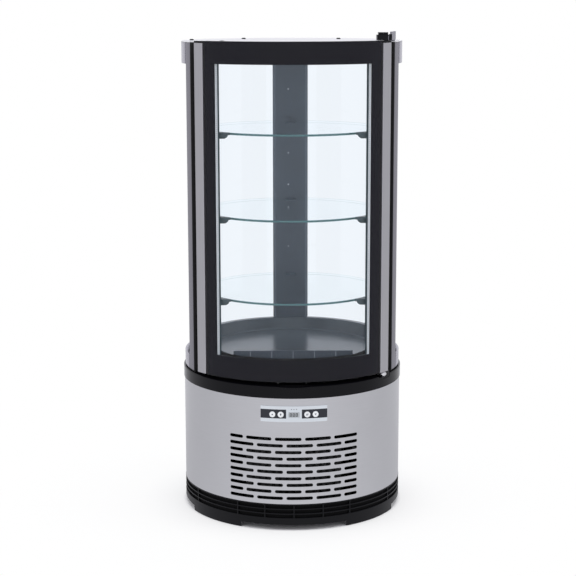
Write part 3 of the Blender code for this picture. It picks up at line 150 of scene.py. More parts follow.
def colour_ramp(tree: Tree, value: Output, levels: Sequence[tuple[float, Sequence[float]]]) -> bpy.types.Node:
    """Turn a value between nought and one to a colour.

    Args:
        tree: The node tree.
        value: The value's node and output.
        levels: Places on the ramp, rising, with the linear colour at each.

    Returns:
        The ramp's node.
    """
    ramp = add_node(tree, "ValToRGB", None, {"Fac": value})
    elements = ramp.color_ramp.elements
    for place, _ in levels[1:-1]:
        elements.new(place)
    for element, (place, colour) in zip(elements, levels):
        element.position = place
        element.color = colour
    return ramp


@dataclass(frozen=True)
class Surface:
    """A material that is made when the first piece needs it.

    Its pattern is read in the piece's own coordinates, so it moves with the piece.
    """

    name: str
    colour: str                    # sRGB hex

    def build(self) -> bpy.types.Material:
        """Make the material, once.

        Returns:
            The material.
        """
        material = bpy.data.materials.get(self.name)
        if material is None:
            material, tree, output = blank_material(self.name)
            material.diffuse_color = self.plain()
            shader, socket = self.shader(tree, (add_node(tree, "TexCoord"), "Object"))
            tree.links.new(shader.outputs[socket], output.inputs["Surface"])
        return material

    def plain(self) -> tuple[float, float, float, float]:
        """Give the one colour that stands for it where no pattern is drawn."""
        return linear(self.colour)

    def shader(self, tree: Tree, place: Output) -> Output:
        """Draw the surface; each kind of surface has its own way.

        Args:
            tree: The material's node tree.
            place: The piece's own coordinates.

        Returns:
            The surface's node and output.
        """
        raise NotImplementedError


@dataclass(frozen=True)
class Finish(Surface):
    """An opaque surface whose colour, gloss and relief follow one pattern of a real size."""

    second: str                    # sRGB hex, at the other end of the pattern
    roughness: float
    spread: float = 0.04           # roughness either side
    metallic: float = 0.0
    ior: float = 1.5
    shine: float = 0.5             # specular level; half of it gives half the reflection
    grain: Grain = Grain.EVEN
    size_mm: float = 1.0           # size of one grain
    depth_mm: float = 0.01         # relief of the grain
    mottle_mm: float = 60.0        # size of the slow unevenness
    mottle_mm_deep: float = 0.0    # relief of the slow unevenness
    mottle_share: float = 0.35     # weight of the slow unevenness in colour and gloss

    def shader(self, tree: Tree, place: Output) -> Output:
        """Draw the grain and the slow unevenness, and what follows them.

        Args:
            tree: The material's node tree.
            place: The piece's own coordinates.

        Returns:
            The surface's node and output.
        """
        stretch = tuple(s / (self.size_mm * MM) for s in self.grain.value)
        along = add_node(tree, "Mapping", {"Scale": stretch}, {"Vector": place})
        fine = add_node(tree, "TexNoise", {"Scale": 1.0, "Detail": 3.0, "Roughness": 0.6},
                        {"Vector": (along, "Vector")})
        slow = add_node(tree, "TexNoise", {"Scale": 1.0 / (self.mottle_mm * MM), "Detail": 2.0}, {"Vector": place})
        both = add_node(tree, "Math", {"operation": "MULTIPLY_ADD", 1: self.mottle_share},
                        {0: (slow, "Fac"), 2: (fine, "Fac")})
        tone = colour_ramp(tree, (both, "Value"), ((0.45, linear(self.colour)), (0.92, linear(self.second))))
        gloss = add_node(tree, "MapRange", {"From Min": 0.40, "From Max": 0.95,
                                            "To Min": self.roughness - self.spread,
                                            "To Max": self.roughness + self.spread},
                         {"Value": (both, "Value")})
        relief = add_node(tree, "Bump", {"Strength": 1.0, "Distance": self.depth_mm * MM}, {"Height": (fine, "Fac")})
        if self.mottle_mm_deep > 0.0:
            relief = add_node(tree, "Bump", {"Strength": 1.0, "Distance": self.mottle_mm_deep * MM},
                              {"Height": (slow, "Fac"), "Normal": (relief, "Normal")})
        shader = add_node(tree, "BsdfPrincipled",
                          {"Metallic": self.metallic, "IOR": self.ior, "Specular IOR Level": self.shine},
                          {"Base Color": (tone, "Color"), "Roughness": (gloss, "Result"), "Normal": (relief, "Normal")})
        return (shader, "BSDF")


@dataclass(frozen=True)
class ClearGlass(Surface):
    """Float glass as a clear film on both faces: what isn't reflected goes straight through, tinted by its colour."""

    roughness: float = 0.015
    ior: float = 1.52
    sheen: float = 0.75            # share of the face's own reflection
    wave_mm: float = 0.004         # waviness of bent glass
    waves: float = 9.0             # waves in a metre

    def plain(self) -> tuple[float, float, float, float]:
        """Give a pale see-through blue."""
        return (0.85, 0.93, 0.95, 0.25)

    def shader(self, tree: Tree, place: Output) -> Output:
        """Draw the clear film and the reflection of its outer face.

        Args:
            tree: The material's node tree.
            place: The piece's own coordinates.

        Returns:
            The surface's node and output.
        """
        slow = add_node(tree, "TexNoise", {"Scale": self.waves, "Detail": 1.0}, {"Vector": place})
        relief = add_node(tree, "Bump", {"Strength": 1.0, "Distance": self.wave_mm * MM}, {"Height": (slow, "Fac")})
        clear = add_node(tree, "BsdfTransparent", {"Color": linear(self.colour)})
        gloss = add_node(tree, "BsdfPrincipled", {"Base Color": WHITE, "Metallic": 1.0, "Roughness": self.roughness},
                         {"Normal": (relief, "Normal")})
        rim = add_node(tree, "Fresnel", {"IOR": self.ior})
        face = add_node(tree, "NewGeometry")
        outside = add_node(tree, "MapRange", {"To Min": self.sheen, "To Max": 0.0}, {"Value": (face, "Backfacing")})
        share = add_node(tree, "Math", {"operation": "MULTIPLY"}, {0: (rim, "Fac"), 1: (outside, "Result")})
        film = add_node(tree, "MixShader", None, {"Fac": (share, "Value"), 1: (clear, "BSDF"), 2: (gloss, "BSDF")})
        return (film, "Shader")


@dataclass(frozen=True)
class ZincCoat(Surface):
    """Hot dipped zinc: flat crystals of slightly different greys, each a few millimetres across."""

    second: str                    # sRGB hex of the palest crystals
    size_mm: float = 7.0

    def shader(self, tree: Tree, place: Output) -> Output:
        """Draw the crystals, each with a grey and a gloss of its own.

        Args:
            tree: The material's node tree.
            place: The piece's own coordinates.

        Returns:
            The surface's node and output.
        """
        spangle = add_node(tree, "TexVoronoi", {"Scale": 1.0 / (self.size_mm * MM)}, {"Vector": place})
        value = add_node(tree, "SeparateColor", None, {"Color": (spangle, "Color")})
        tone = colour_ramp(tree, (value, "Red"), ((0.0, linear(self.colour)), (1.0, linear(self.second))))
        gloss = add_node(tree, "MapRange", {"To Min": 0.34, "To Max": 0.52}, {"Value": (value, "Green")})
        shader = add_node(tree, "BsdfPrincipled", {"Metallic": 1.0},
                          {"Base Color": (tone, "Color"), "Roughness": (gloss, "Result")})
        return (shader, "BSDF")


# Stainless sheet, rolled and satin brushed round the case.  The eye sees a soft, slightly lilac grey whose
# highlights spread up and down; the real lines are 0.1 mm apart and are drawn 0.8 mm apart so that they show.
BRUSHED_STEEL = Finish("satin_brushed_stainless_steel", "CCCCCF", "D2D2D5", 0.36, 0.05, metallic=1.0,
                       grain=Grain.ROUND, size_mm=0.8, depth_mm=0.003)
# Extruded aluminium, satin anodised: a silky grey with faint upright die lines, drawn 1 mm apart.
ANODISED_STRIP = Finish("satin_anodised_aluminium", "B9B8BC", "C1C0C4", 0.34, 0.04, metallic=1.0,
                        grain=Grain.UPRIGHT, size_mm=1.0, depth_mm=0.003)
# Extruded aluminium in a darker anodising, for the posts.
ANODISED_POST = Finish("grey_anodised_aluminium", "89878F", "8F8D95", 0.36, 0.04, metallic=1.0,
                       grain=Grain.UPRIGHT, size_mm=1.0, depth_mm=0.003)
# Extruded aluminium flat bar, anodised and bent round the case: its die lines run with the bend.
ANODISED_BAND = Finish("anodised_aluminium_band", "ABA9B2", "B2B0B9", 0.28, 0.04, metallic=1.0,
                       grain=Grain.ROUND, size_mm=1.0, depth_mm=0.003)
# Steel sheet with baked grey enamel: even colour, a very fine orange peel about 3 mm from crest to crest.
ROOF_ENAMEL = Finish("baked_grey_enamel", "C9C9CD", "CFCFD3", 0.42, 0.04, size_mm=3.0, depth_mm=0.010)
# ABS moulded against polished steel: deep black, mirror-like, slightly wavy over its length.
GLOSS_ABS = Finish("gloss_moulded_abs", "0A0A0D", "0E0E12", 0.14, 0.03, shine=0.16, size_mm=2.0, depth_mm=0.001,
                   mottle_mm=40.0, mottle_mm_deep=0.010)
# ABS moulded against a spark eroded tool: satin black with a grain of about 0.5 mm, drawn at 0.9 mm.
SATIN_ABS = Finish("satin_moulded_abs", "0B0B0E", "101014", 0.36, 0.06, shine=0.18, size_mm=0.9, depth_mm=0.020)
# The doorway frame is the same plastic, extruded: it keeps faint upright lines.
DOORWAY_PVC = Finish("extruded_black_pvc", "0D0D11", "121216", 0.50, 0.05, shine=0.02, grain=Grain.UPRIGHT, size_mm=1.2,
                     depth_mm=0.004)
# EPDM door seal: dull black, lightly dusty.
SEAL_RUBBER = Finish("extruded_epdm_rubber", "1C1C1D", "252526", 0.72, 0.08, size_mm=1.2, depth_mm=0.020)
# Vacuum formed polystyrene, satin gloss slate grey: the floor and its rim.
SLATE_TRAY = Finish("vacuum_formed_slate_polystyrene", "4B5259", "525960", 0.24, 0.03, size_mm=2.5,
                    depth_mm=0.001, mottle_mm=50.0, mottle_mm_deep=0.008)
# Powder coated steel duct in the same slate grey; the powder's texture is about 0.6 mm.
SLATE_POWDER = Finish("slate_powder_coat", "525C67", "59636E", 0.38, 0.05, size_mm=0.9, depth_mm=0.010)
# Thermoformed liner, pale grey, satin.
PALE_LINER = Finish("thermoformed_pale_liner", "BFC1C3", "C7C9CB", 0.48, 0.05, size_mm=1.5, depth_mm=0.010)
# Ceramic ink fired on the back of the glass: black, with no gloss of its own, because it is one with the pane.
FIRED_INK = Finish("fired_ceramic_ink", "0E0D15", "111019", 0.60, 0.05, shine=0.0, size_mm=1.0, depth_mm=0.002)
# Ground and polished glass edge: the whole width of the pane shows in it as a dark teal line.
GLASS_EDGE = Finish("polished_glass_edge", "466A6C", "547B7C", 0.10, 0.03, size_mm=2.0, depth_mm=0.002)
# Roll formed aluminium spacer with its row of vent perforations: bright, hard sheen.
SPACER_METAL = Finish("roll_formed_aluminium", "E4E7EA", "ECEEF0", 0.42, 0.05, size_mm=0.8,
                      depth_mm=0.004)
# Butyl seal behind the spacer: its teal is a painted reflection of the glass round it.
BUTYL_SEAL = Finish("dark_butyl_seal", "2E3C42", "35444A", 0.50, 0.05, shine=0.3, size_mm=1.5, depth_mm=0.010)
# Pale line along each rib edge of the baffle: a painted highlight, where the edge catches the light.
RIB_HIGHLIGHT = Finish("pale_rib_highlight", "9AA2AB", "A6AEB6", 0.32, 0.05, size_mm=0.8, depth_mm=0.004)
# Screen printed polyester film of the control panel: matt, cool pale grey.
PANEL_FILM = Finish("printed_polyester_film", "D5DBE2", "DADFE6", 0.42, 0.04, size_mm=0.7, depth_mm=0.004)
# The same film printed dark, in the two fields round the buttons.
PANEL_INK = Finish("dark_printed_film", "1D202A", "22252F", 0.38, 0.04, size_mm=0.7, depth_mm=0.004)
# Grey print of the marks on the buttons.
MARK_INK = Finish("grey_printed_mark", "6A6E78", "72767F", 0.45, 0.04, size_mm=0.6, depth_mm=0.002)
# Silicone rubber push button: off white, soft sheen.
BUTTON_SILICONE = Finish("moulded_silicone", "F2F4F8", "F8FAFC", 0.45, 0.05, size_mm=1.0, depth_mm=0.006)
# Smoked acrylic over the digits.
SMOKED_ACRYLIC = Finish("smoked_acrylic", "24262B", "2B2D33", 0.10, 0.02, size_mm=2.0, depth_mm=0.001)
# Satin chrome plated zinc: a soft mirror that gathers the light of the room in one pale dome.
CHROME_PLATE = Finish("satin_chrome_plated_zinc", "E6E6E9", "EEEEF1", 0.30, 0.04, metallic=1.0, size_mm=2.0,
                      depth_mm=0.002)
# Steel bracket, zinc plated and passivated: dull silver.
PLATED_STEEL = Finish("zinc_plated_steel", "86858D", "92919A", 0.38, 0.05, metallic=1.0, size_mm=1.5,
                      depth_mm=0.006)
# Stove enamelled compressor pot.
POT_ENAMEL = Finish("stove_enamelled_steel", "17171A", "1E1E21", 0.32, 0.05, size_mm=2.5, depth_mm=0.012)
# Drawn copper tube, slightly tarnished.
DRAWN_COPPER = Finish("drawn_copper_tube", "B87350", "9C5C3C", 0.30, 0.08, metallic=1.0, size_mm=6.0,
                      depth_mm=0.004)
# Aluminium fins, bare: pale and slightly crumpled.
BARE_FINS = Finish("bare_aluminium_fins", "8E9092", "A3A5A7", 0.40, 0.06, metallic=1.0, size_mm=4.0,
                   depth_mm=0.010)
# Condenser fins dipped in black paint: dull, uneven black; the black also paints the shade of the space behind the
# slots.
BLACK_FINS = Finish("black_fins_and_painted_shade", "141416", "1D1D1F", 0.60, 0.08, size_mm=4.0, depth_mm=0.010)
# Back of the rolled sheet: unpolished, and dim as a painted shade of the dark machine space behind the slots.
SHEET_BACK_SHADE = Finish("sheet_back_painted_shade", "3E3E40", "4A4A4C", 0.65, 0.06, size_mm=5.0, depth_mm=0.006)
# Black sheet behind the louvres, as painted shade: it swallows nearly all light, so the louvres look dark.
LOUVRE_SHADE_SHEET = Finish("black_painted_shade_sheet", "0B0B0C", "121213", 0.90, 0.05, shine=0.1, size_mm=2.0, depth_mm=0.20)
# Floor plate of the machine space: dull black, as painted shade of the dark space under the skin.
PLATE_SHADE = Finish("black_plate_painted_shade", "121214", "17171A", 0.55, 0.06, shine=0.3, size_mm=3.0, depth_mm=0.010)
# White polycarbonate of the circuit board's box.
BOX_PLASTIC = Finish("white_polycarbonate", "DADCDE", "E2E4E6", 0.40, 0.05, size_mm=1.5, depth_mm=0.008)
# Blackened screws.
BLACK_SCREW = Finish("blackened_steel_screw", "1D1D20", "2A2A2E", 0.36, 0.06, metallic=0.6, size_mm=1.0,
                     depth_mm=0.004)
# Bright screws of the column.
BRIGHT_SCREW = Finish("nickel_plated_screw", "C4C6C8", "D2D4D6", 0.28, 0.05, metallic=1.0, size_mm=1.0,
                      depth_mm=0.004)
# Liquid crystal window of the display: pale greenish grey behind a glossy cover.
LCD_GLASS = Finish("reflective_lcd_window", "B4B8BD", "BCC0C4", 0.16, 0.03, size_mm=0.8, depth_mm=0.001)
# Tinted acetal of the shelf clips: dark teal grey, slightly waxy.
CLIP_PLASTIC = Finish("moulded_teal_acetal", "3C4E52", "45585C", 0.34, 0.05, size_mm=1.2, depth_mm=0.006)
DOOR_GLASS = ClearGlass("bent_float_glass", "FDFEFF", sheen=0.5)
SIDE_GLASS = ClearGlass("bent_side_glass", "FDFEFF", sheen=1.0)
# Arrised rim of a shelf: the ground bevel scatters a little and draws a faint line.
SHELF_RIM = ClearGlass("ground_shelf_rim", "D6E3E4", roughness=0.2, sheen=0.25, wave_mm=0.0)
SHELF_GLASS = ClearGlass("flat_shelf_glass", "FCFEFE", sheen=0.55, wave_mm=0.0)
GALVANISED = ZincCoat("hot_dipped_zinc", "8B8E91", "B0B3B5")


def polar(radius: float, bearing: float, centre_y: float = 0.0) -> Pair:
    """Find the plan point at a bearing, in degrees from -Y towards +X."""
    turn = math.radians(bearing)
    return (radius * math.sin(turn), centre_y - radius * math.cos(turn))


def stops(*edges: float, step: float = FINE) -> list[float]:
    """List places from the first edge to the last, through every edge, no further apart than the step.

    Args:
        edges: Places that must be in the list.
        step: The widest space between neighbours.

    Returns:
        The places in rising order.
    """
    ordered = sorted(set(edges))
    places = [ordered[0]]
    for low, high in zip(ordered[:-1], ordered[1:]):
        count = max(1, math.ceil((high - low) / step - 1e-6))
        places += [low + (high - low) * k / count for k in range(1, count + 1)]
    return places


def arc(radius: float, start: float, end: float, centre_y: float = 0.0) -> Plan:
    """Draw an arc between two bearings in fine steps."""
    return [polar(radius, bearing, centre_y) for bearing in stops(start, end)]


def oblong(left: float, right: float, low: float, high: float) -> Plan:
    """Draw a rectangle, from its lower left corner round its foot."""
    return [(left, low), (right, low), (right, high), (left, high)]


def rounded(side: float, top: float, edge: float, facets: int = 5) -> Plan:
    """Round the outer corner of a profile, from its side up to its top."""
    turns = [math.radians(90 * k / facets) for k in range(facets + 1)]
    return [(side - edge + edge * math.cos(t), top - edge + edge * math.sin(t)) for t in turns]


def bridge(work: Solid, rows: Sequence[Sequence[bmesh.types.BMVert]]) -> None:
    """Close the strip between each closed row of corners and the next.

    Args:
        work: The solid.
        rows: The rows; where corners of a row are one and the same, the strip comes to a point or an edge there.
    """
    for here, there in zip(rows[:-1], rows[1:]):
        for k in range(len(here)):
            after = (k + 1) % len(here)
            corners = list(dict.fromkeys((here[k], there[k], there[after], here[after])))
            if len(corners) > 2:
                work.faces.new(corners)


def prism(outline: Sequence[Pair], low: float, high: float) -> Solid:
    """Raise a closed plan outline to a solid.

    Args:
        outline: The outline.
        low: Height of its underside.
        high: Height of its top.

    Returns:
        The solid.
    """
    work = bmesh.new()
    rows = [[work.verts.new((x, y, z)) for x, y in outline] for z in (low, high)]
    bridge(work, rows)
    work.faces.new(rows[0][::-1])
    work.faces.new(rows[1])
    return work


def swept(profile: Sequence[Pair], bearings: Sequence[float], centre_y: float = 0.0, ring: bool = False) -> Solid:
    """Carry a closed profile round an upright axis.

    Args:
        profile: Radius and height of each corner.
        bearings: Where the profile is set down.
        centre_y: Where the axis stands.
        ring: Whether the last place joins the first.

    Returns:
        The solid.
    """
    work = bmesh.new()
    rows = [[work.verts.new((*polar(r, bearing, centre_y), z)) for r, z in profile] for bearing in bearings]
    bridge(work, rows + rows[:1] if ring else rows)
    if not ring:
        work.faces.new(rows[0])
        work.faces.new(rows[-1][::-1])
    return work


def full_ring(profile: Sequence[Pair]) -> Solid:
    """Carry a closed profile all the way round the case."""
    return swept(profile, stops(0.0, 360.0)[:-1], ring=True)


def turned(profile: Sequence[Pair], centre: Point = ORIGIN, sides: int = 48) -> Solid:
    """Turn an open profile, which starts and ends on the axis, about Z.

    Args:
        profile: Radius and height of each corner, above the centre.
        centre: Where the axis stands.
        sides: Facets round it.

    Returns:
        The solid.
    """
    work = bmesh.new()
    x, y, z = centre
    angles = [math.tau * k / sides for k in range(sides)]
    rows = []
    for radius, height in profile:
        if radius < 1e-7:
            rows.append([work.verts.new((x, y, z + height))] * sides)
        else:
            rows.append([work.verts.new((x + radius * math.cos(a), y + radius * math.sin(a), z + height))
                         for a in angles])
    bridge(work, rows)
    return work


def stud(radius: float, depth: float, edge: float, centre: Point = ORIGIN, sides: int = 48) -> Solid:
    """Turn a round button, plug or screw head with a rounded top edge.

    Args:
        radius: Its radius.
        depth: Its height.
        edge: Radius of the rounding, which has fewer facets on a small head.
        centre: Middle of its underside.
        sides: Facets round it.

    Returns:
        The solid.
    """
    rim = rounded(radius, depth, edge, 3 if sides < 40 else 5)
    return turned([(0.0, 0.0), (radius, 0.0), *rim, (0.0, depth)], centre, sides)


def slab(low: Point, high: Point) -> Solid:
    """Make a block between two corners."""
    return prism(oblong(low[0], high[0], low[1], high[1]), low[2], high[2])


def upended(work: Solid, at: Point, bearing: float = 0.0) -> Solid:
    """Turn a solid that was made about Z so that its top faces a bearing, and set it in its place.

    Args:
        work: The solid, made about the origin.
        at: Where its origin comes.
        bearing: The way that its top faces.

    Returns:
        The same solid.
    """
    turn = Matrix.Rotation(math.radians(bearing), 4, "Z") @ Matrix.Rotation(math.radians(90.0), 4, "X")
    bmesh.ops.transform(work, matrix=Matrix.Translation(at) @ turn, verts=work.verts)
    return work


def shell(inner: float, outer: float, bearings: Sequence[float], heights: Sequence[float],
          is_open: Callable[[float, float], bool], centre_y: float = 0.0, ring: bool = False) -> Solid:
    """Build a curved wall with square openings, cell by cell.

    Args:
        inner: Radius of its back.
        outer: Radius of its face.
        bearings: Upright lines that part the cells.
        heights: Level lines that part the cells.
        is_open: Tells whether the cell round a bearing and a height is left out.
        centre_y: Where the axis stands.
        ring: Whether the last line is the first again.

    Returns:
        The wall, closed all round.
    """
    work = bmesh.new()
    across, up = len(bearings) - 1, len(heights) - 1
    solid = {(i, j) for i in range(across) for j in range(up)
             if not is_open((bearings[i] + bearings[i + 1]) / 2, (heights[j] + heights[j + 1]) / 2)}
    made: dict[tuple[int, int, bool], bmesh.types.BMVert] = {}

    def corner(i: int, j: int, face: bool) -> bmesh.types.BMVert:
        """Make or find the corner on one side of the wall."""
        key = (i % across if ring else i, j, face)
        if key not in made:
            made[key] = work.verts.new((*polar(outer if face else inner, bearings[key[0]], centre_y), heights[j]))
        return made[key]

    for i, j in sorted(solid):
        cell = [(i, j), (i + 1, j), (i + 1, j + 1), (i, j + 1)]
        work.faces.new([corner(*spot, True) for spot in cell])
        work.faces.new([corner(*spot, False) for spot in cell[:1] + cell[:0:-1]])
        left = ((i - 1) % across if ring else i - 1, j)
        right = ((i + 1) % across if ring else i + 1, j)
        for there, a, b in ((left, cell[0], cell[3]), (right, cell[2], cell[1]),
                            ((i, j - 1), cell[1], cell[0]), ((i, j + 1), cell[3], cell[2])):
            if there not in solid:
                work.faces.new([corner(*a, True), corner(*b, True), corner(*b, False), corner(*a, False)])
    return work


def stadiums(radius: float, slots: Iterable[tuple[float, float, float, float]], reach: float = 0.006) -> Solid:
    """Build radial cutters for slots with round ends, rolled round the body.

    Args:
        radius: Radius on which the lengths are measured.
        slots: Start, length, middle height and height of each slot, along the arc.
        reach: How far the cutters pass the radius, either way.

    Returns:
        All the cutters.
    """
    work = bmesh.new()
    for start, length, middle, height in slots:
        half = height / 2
        turns = [math.radians(15 * k) for k in range(6)]
        lead = [(start + half - half * math.cos(t), half * math.sin(t)) for t in turns]
        tail = [(start + length - x + start, rise) for x, rise in lead[::-1]]
        flat = stops(start + half, start + length - half, step=radius * math.radians(FINE))
        rows = []
        for along, rise in lead + [(x, half) for x in flat] + tail:
            corners = oblong(radius - reach, radius + reach, -rise, rise)[::-1]
            bearing = math.degrees(along / radius)
            made = {(r, h): work.verts.new((*polar(r, bearing), middle + h)) for r, h in dict.fromkeys(corners)}
            rows.append([made[spot] for spot in corners])
        bridge(work, rows)
    return work


def merged(*parts: Solid) -> Solid:
    """Put several solids in one, side by side; they are used up."""
    whole = bmesh.new()
    for part in parts:
        loose = bpy.data.meshes.new("loose")
        part.to_mesh(loose)
        part.free()
        whole.from_mesh(loose)
        bpy.data.meshes.remove(loose)
    return whole


def new_object(name: str, work: Solid) -> Piece:
    """Turn a working mesh into an object of the scene, smooth but for its sharp folds.

    Args:
        name: The object's name.
        work: The mesh; it is used up.

    Returns:
        The object.
    """
    bmesh.ops.recalc_face_normals(work, faces=work.faces)
    mesh = bpy.data.meshes.new(name)
    work.to_mesh(mesh)
    work.free()
    mesh.shade_smooth()
    mesh.set_sharp_from_angle(angle=math.radians(SHARP))
    obj = bpy.data.objects.new(name, mesh)
    bpy.context.scene.collection.objects.link(obj)
    return obj


def soften(obj: Piece, width: float, segments: int = 2) -> None:
    """Round the edges as a mould or a press leaves them.

    Args:
        obj: The piece.
        width: Width of the rounding.
        segments: Facets across it.
    """
    bevel = obj.modifiers.new("rounded_edges", "BEVEL")
    bevel.width = width
    bevel.segments = segments
    bevel.limit_method = "ANGLE"
    bevel.angle_limit = math.radians(SHARP)
    bevel.miter_outer = "MITER_ARC"
    even(obj)


def even(obj: Piece) -> None:
    """Let broad faces lead the shading, so that roundings don't tint them."""
    if "sharp_edge" in obj.data.attributes:
        obj.data.attributes.remove(obj.data.attributes["sharp_edge"])
    weighted = obj.modifiers.new("even_shading", "WEIGHTED_NORMAL")
    weighted.weight = 70


def cut(target: Piece, *tools: Solid) -> None:
    """Take solids out of a piece.

    Args:
        target: The piece.
        tools: The solids to take out; they are used up.
    """
    for index, tool in enumerate(tools):
        cutter = new_object(f"{target.name}_cutter_{index}", tool)
        step = target.modifiers.new("cut", "BOOLEAN")
        step.operation = "DIFFERENCE"
        step.solver = "EXACT"
        step.object = cutter
        bpy.context.view_layer.update()
        made = bpy.data.meshes.new_from_object(target.evaluated_get(bpy.context.evaluated_depsgraph_get()))
        target.modifiers.remove(step)
        old = target.data
        target.data = made
        made.name = target.name
        bpy.data.meshes.remove(old)
        spent = cutter.data
        bpy.data.objects.remove(cutter)
        bpy.data.meshes.remove(spent)


def lay_normals(obj: Piece, skew: float = 0.2, level: float = 0.05) -> None:
    """Give a cut ring the smooth normals of its own axis, so that the cuts leave no shading seams.

    Args:
        obj: The ring.
        skew: A face that is turned aside by more than this is the side of a cut and stays flat.
        level: A face that looks outwards by less than this is a top or an underside and stays flat.
    """
    mesh = obj.data
    normals: list[Point] = [(0.0, 0.0, 1.0)] * len(mesh.loops)
    for face in mesh.polygons:
        face.use_smooth = True
        middle = Vector((face.center.x, face.center.y, 0.0)).normalized()
        outward = face.normal.dot(middle)
        aside = face.normal.x * middle.y - face.normal.y * middle.x
        for index in face.loop_indices:
            spot = mesh.vertices[mesh.loops[index].vertex_index].co
            away = Vector((spot.x, spot.y, 0.0)).normalized()
            if abs(aside) < skew and abs(outward) > level:
                normals[index] = tuple((away * outward + Vector((0.0, 0.0, face.normal.z))).normalized())
            else:
                normals[index] = tuple(face.normal)
    mesh.normals_split_custom_set(normals)


@dataclass
class Assembly:
    """Pieces that are made together; each rides on a body of the frame."""

    made: list[str] = field(default_factory=list, init=False)

    def add(self, name: str, work: Solid, finish: Surface, slot: str, body: str = "cabinet",
            stands_for: Sequence[str] = (), soft: float = 0.0) -> Piece:
        """Make a piece, dress it and hang it on its body.

        Args:
            name: The piece's name.
            work: Its mesh; it is used up.
            finish: Its finish.
            slot: The record's material slot that it belongs to; not used.
            body: The body that it rides on.
            stands_for: Solids of the frame that it replaces.
            soft: Width of its rounded edges, if any.

        Returns:
            The piece.
        """
        obj = new_object(name, work)
        obj.data.materials.append(finish.build())
        if soft > 0.0:
            soften(obj, soft)
        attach(obj, body)
        if stands_for:
            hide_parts(*stands_for)
        self.made.append(name)
        LOG.info("%s: %d faces in %s", name, len(obj.data.polygons), finish.name)
        return obj

    def bent(self, name: str, node: str, radii: Pair, span: Sequence[float], finish: Surface, slot: str,
             body: str = "cabinet", centre_y: float = 0.0, soft: float = 0.0) -> None:
        """Make a plain bent bar or pane, as high as its solid.

        Args:
            name: The piece's name.
            node: The solid that it stands for.
            radii: Inner and outer radius.
            span: First and last bearing.
            finish: Its finish.
            slot: Its material slot.
            body: The body that it rides on.
            centre_y: Where its axis stands.
            soft: Width of its rounded edges, if any.
        """
        low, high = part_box(node)
        work = swept(oblong(*radii, low[2], high[2]), stops(*span), centre_y)
        self.add(name, work, finish, slot, body=body, stands_for=(node,), soft=soft)

    def dress(self, finish: Surface, *nodes: str) -> None:
        """Give solids of the frame a finish, their shape as it is.

        Args:
            finish: The finish.
            nodes: Names of the solids.
        """
        for node in nodes:
            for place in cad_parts[node].material_slots:
                place.material = finish.build()
            self.made.append(node)
            LOG.info("%s: kept, in %s", node, finish.name)


@dataclass
class Base(Assembly):
    """Louvred skirt that the case stands on, and its floor plate."""

    radius: float = 0.2255
    wall: float = 0.0040
    height: float = 0.0537
    ledge: float = 0.0090
    ledge_heights: Pair = (0.0112, 0.0137)
    notch: float = 0.0106
    foot: Pair = (28.0, 65.0)
    rows: tuple[Pair, ...] = ((0.0250, 0.0322), (0.0346, 0.0418), (0.0442, 0.0514))
    rib: float = 0.0026
    bay: float = 30.0
    edge: float = 0.0005
    # The black sheet behind the louvres is painted shade: its thickness and how far it passes the rows below and above.
    shade_sheet: float = 0.0014
    shade_sheet_past: Pair = (0.0010, 0.0012)

    def half_rib(self) -> float:
        """Give half the width of a rib, in degrees."""
        return math.degrees(self.rib / 2 / self.radius)

    def is_open(self, bearing: float, height: float) -> bool:
        """Tell whether a cell of the skirt is a louvre or a recess between the feet.

        Args:
            bearing: Middle of the cell.
            height: Middle of the cell.

        Returns:
            Whether it is left out.
        """
        turn = (bearing + 180.0) % 360.0 - 180.0
        if height < self.notch:
            aside = min(abs(turn), 180.0 - abs(turn))
            return not self.foot[0] < aside < self.foot[1]
        if not any(low < height < high for low, high in self.rows):
            return False
        near = abs(turn - self.bay * round(turn / self.bay))
        return near > self.half_rib() and abs(abs(turn) - self.bay / 2) > self.half_rib()

    def build(self) -> None:
        """Make the skirt, its ledge and the black sheet behind it, which paints the shade in the louvres, and dress the
        floor plate.
        """
        ribs = [k * self.bay for k in range(13)] + [self.bay / 2, 360.0 - self.bay / 2]
        edges = [rib + sign * self.half_rib() for rib in ribs for sign in (-1, 1)]
        edges += [side + sign * end for side in (0.0, 180.0, 360.0) for end in self.foot for sign in (-1, 1)]
        lines = stops(0.0, 360.0, *(edge for edge in edges if 0.0 <= edge <= 360.0))
        levels = sorted({0.0, self.notch, self.height, *(z for row in self.rows for z in row)})
        inner = self.radius - self.wall
        self.add("louvred_skirt", shell(inner, self.radius, lines, levels, self.is_open, ring=True), SATIN_ABS,
                 "satin_black", stands_for=("base_skirt",), soft=self.edge)
        self.add("skirt_ledge", full_ring(oblong(inner - self.ledge, inner, *self.ledge_heights)), SATIN_ABS,
                 "satin_black", stands_for=("base_skirt",))
        # A black sheet just inside the louvres, as painted shade of the dark space behind them.
        back = inner - CONTACT
        shade_sheet = oblong(back - self.shade_sheet, back, self.rows[0][0] - self.shade_sheet_past[0], self.rows[-1][1] + self.shade_sheet_past[1])
        self.add("louvre_shade_sheet", full_ring(shade_sheet), LOUVRE_SHADE_SHEET, "satin_black")
        # The floor plate is dressed black, as painted shade of the space under the skin.
        self.dress(PLATE_SHADE, "base_plate")


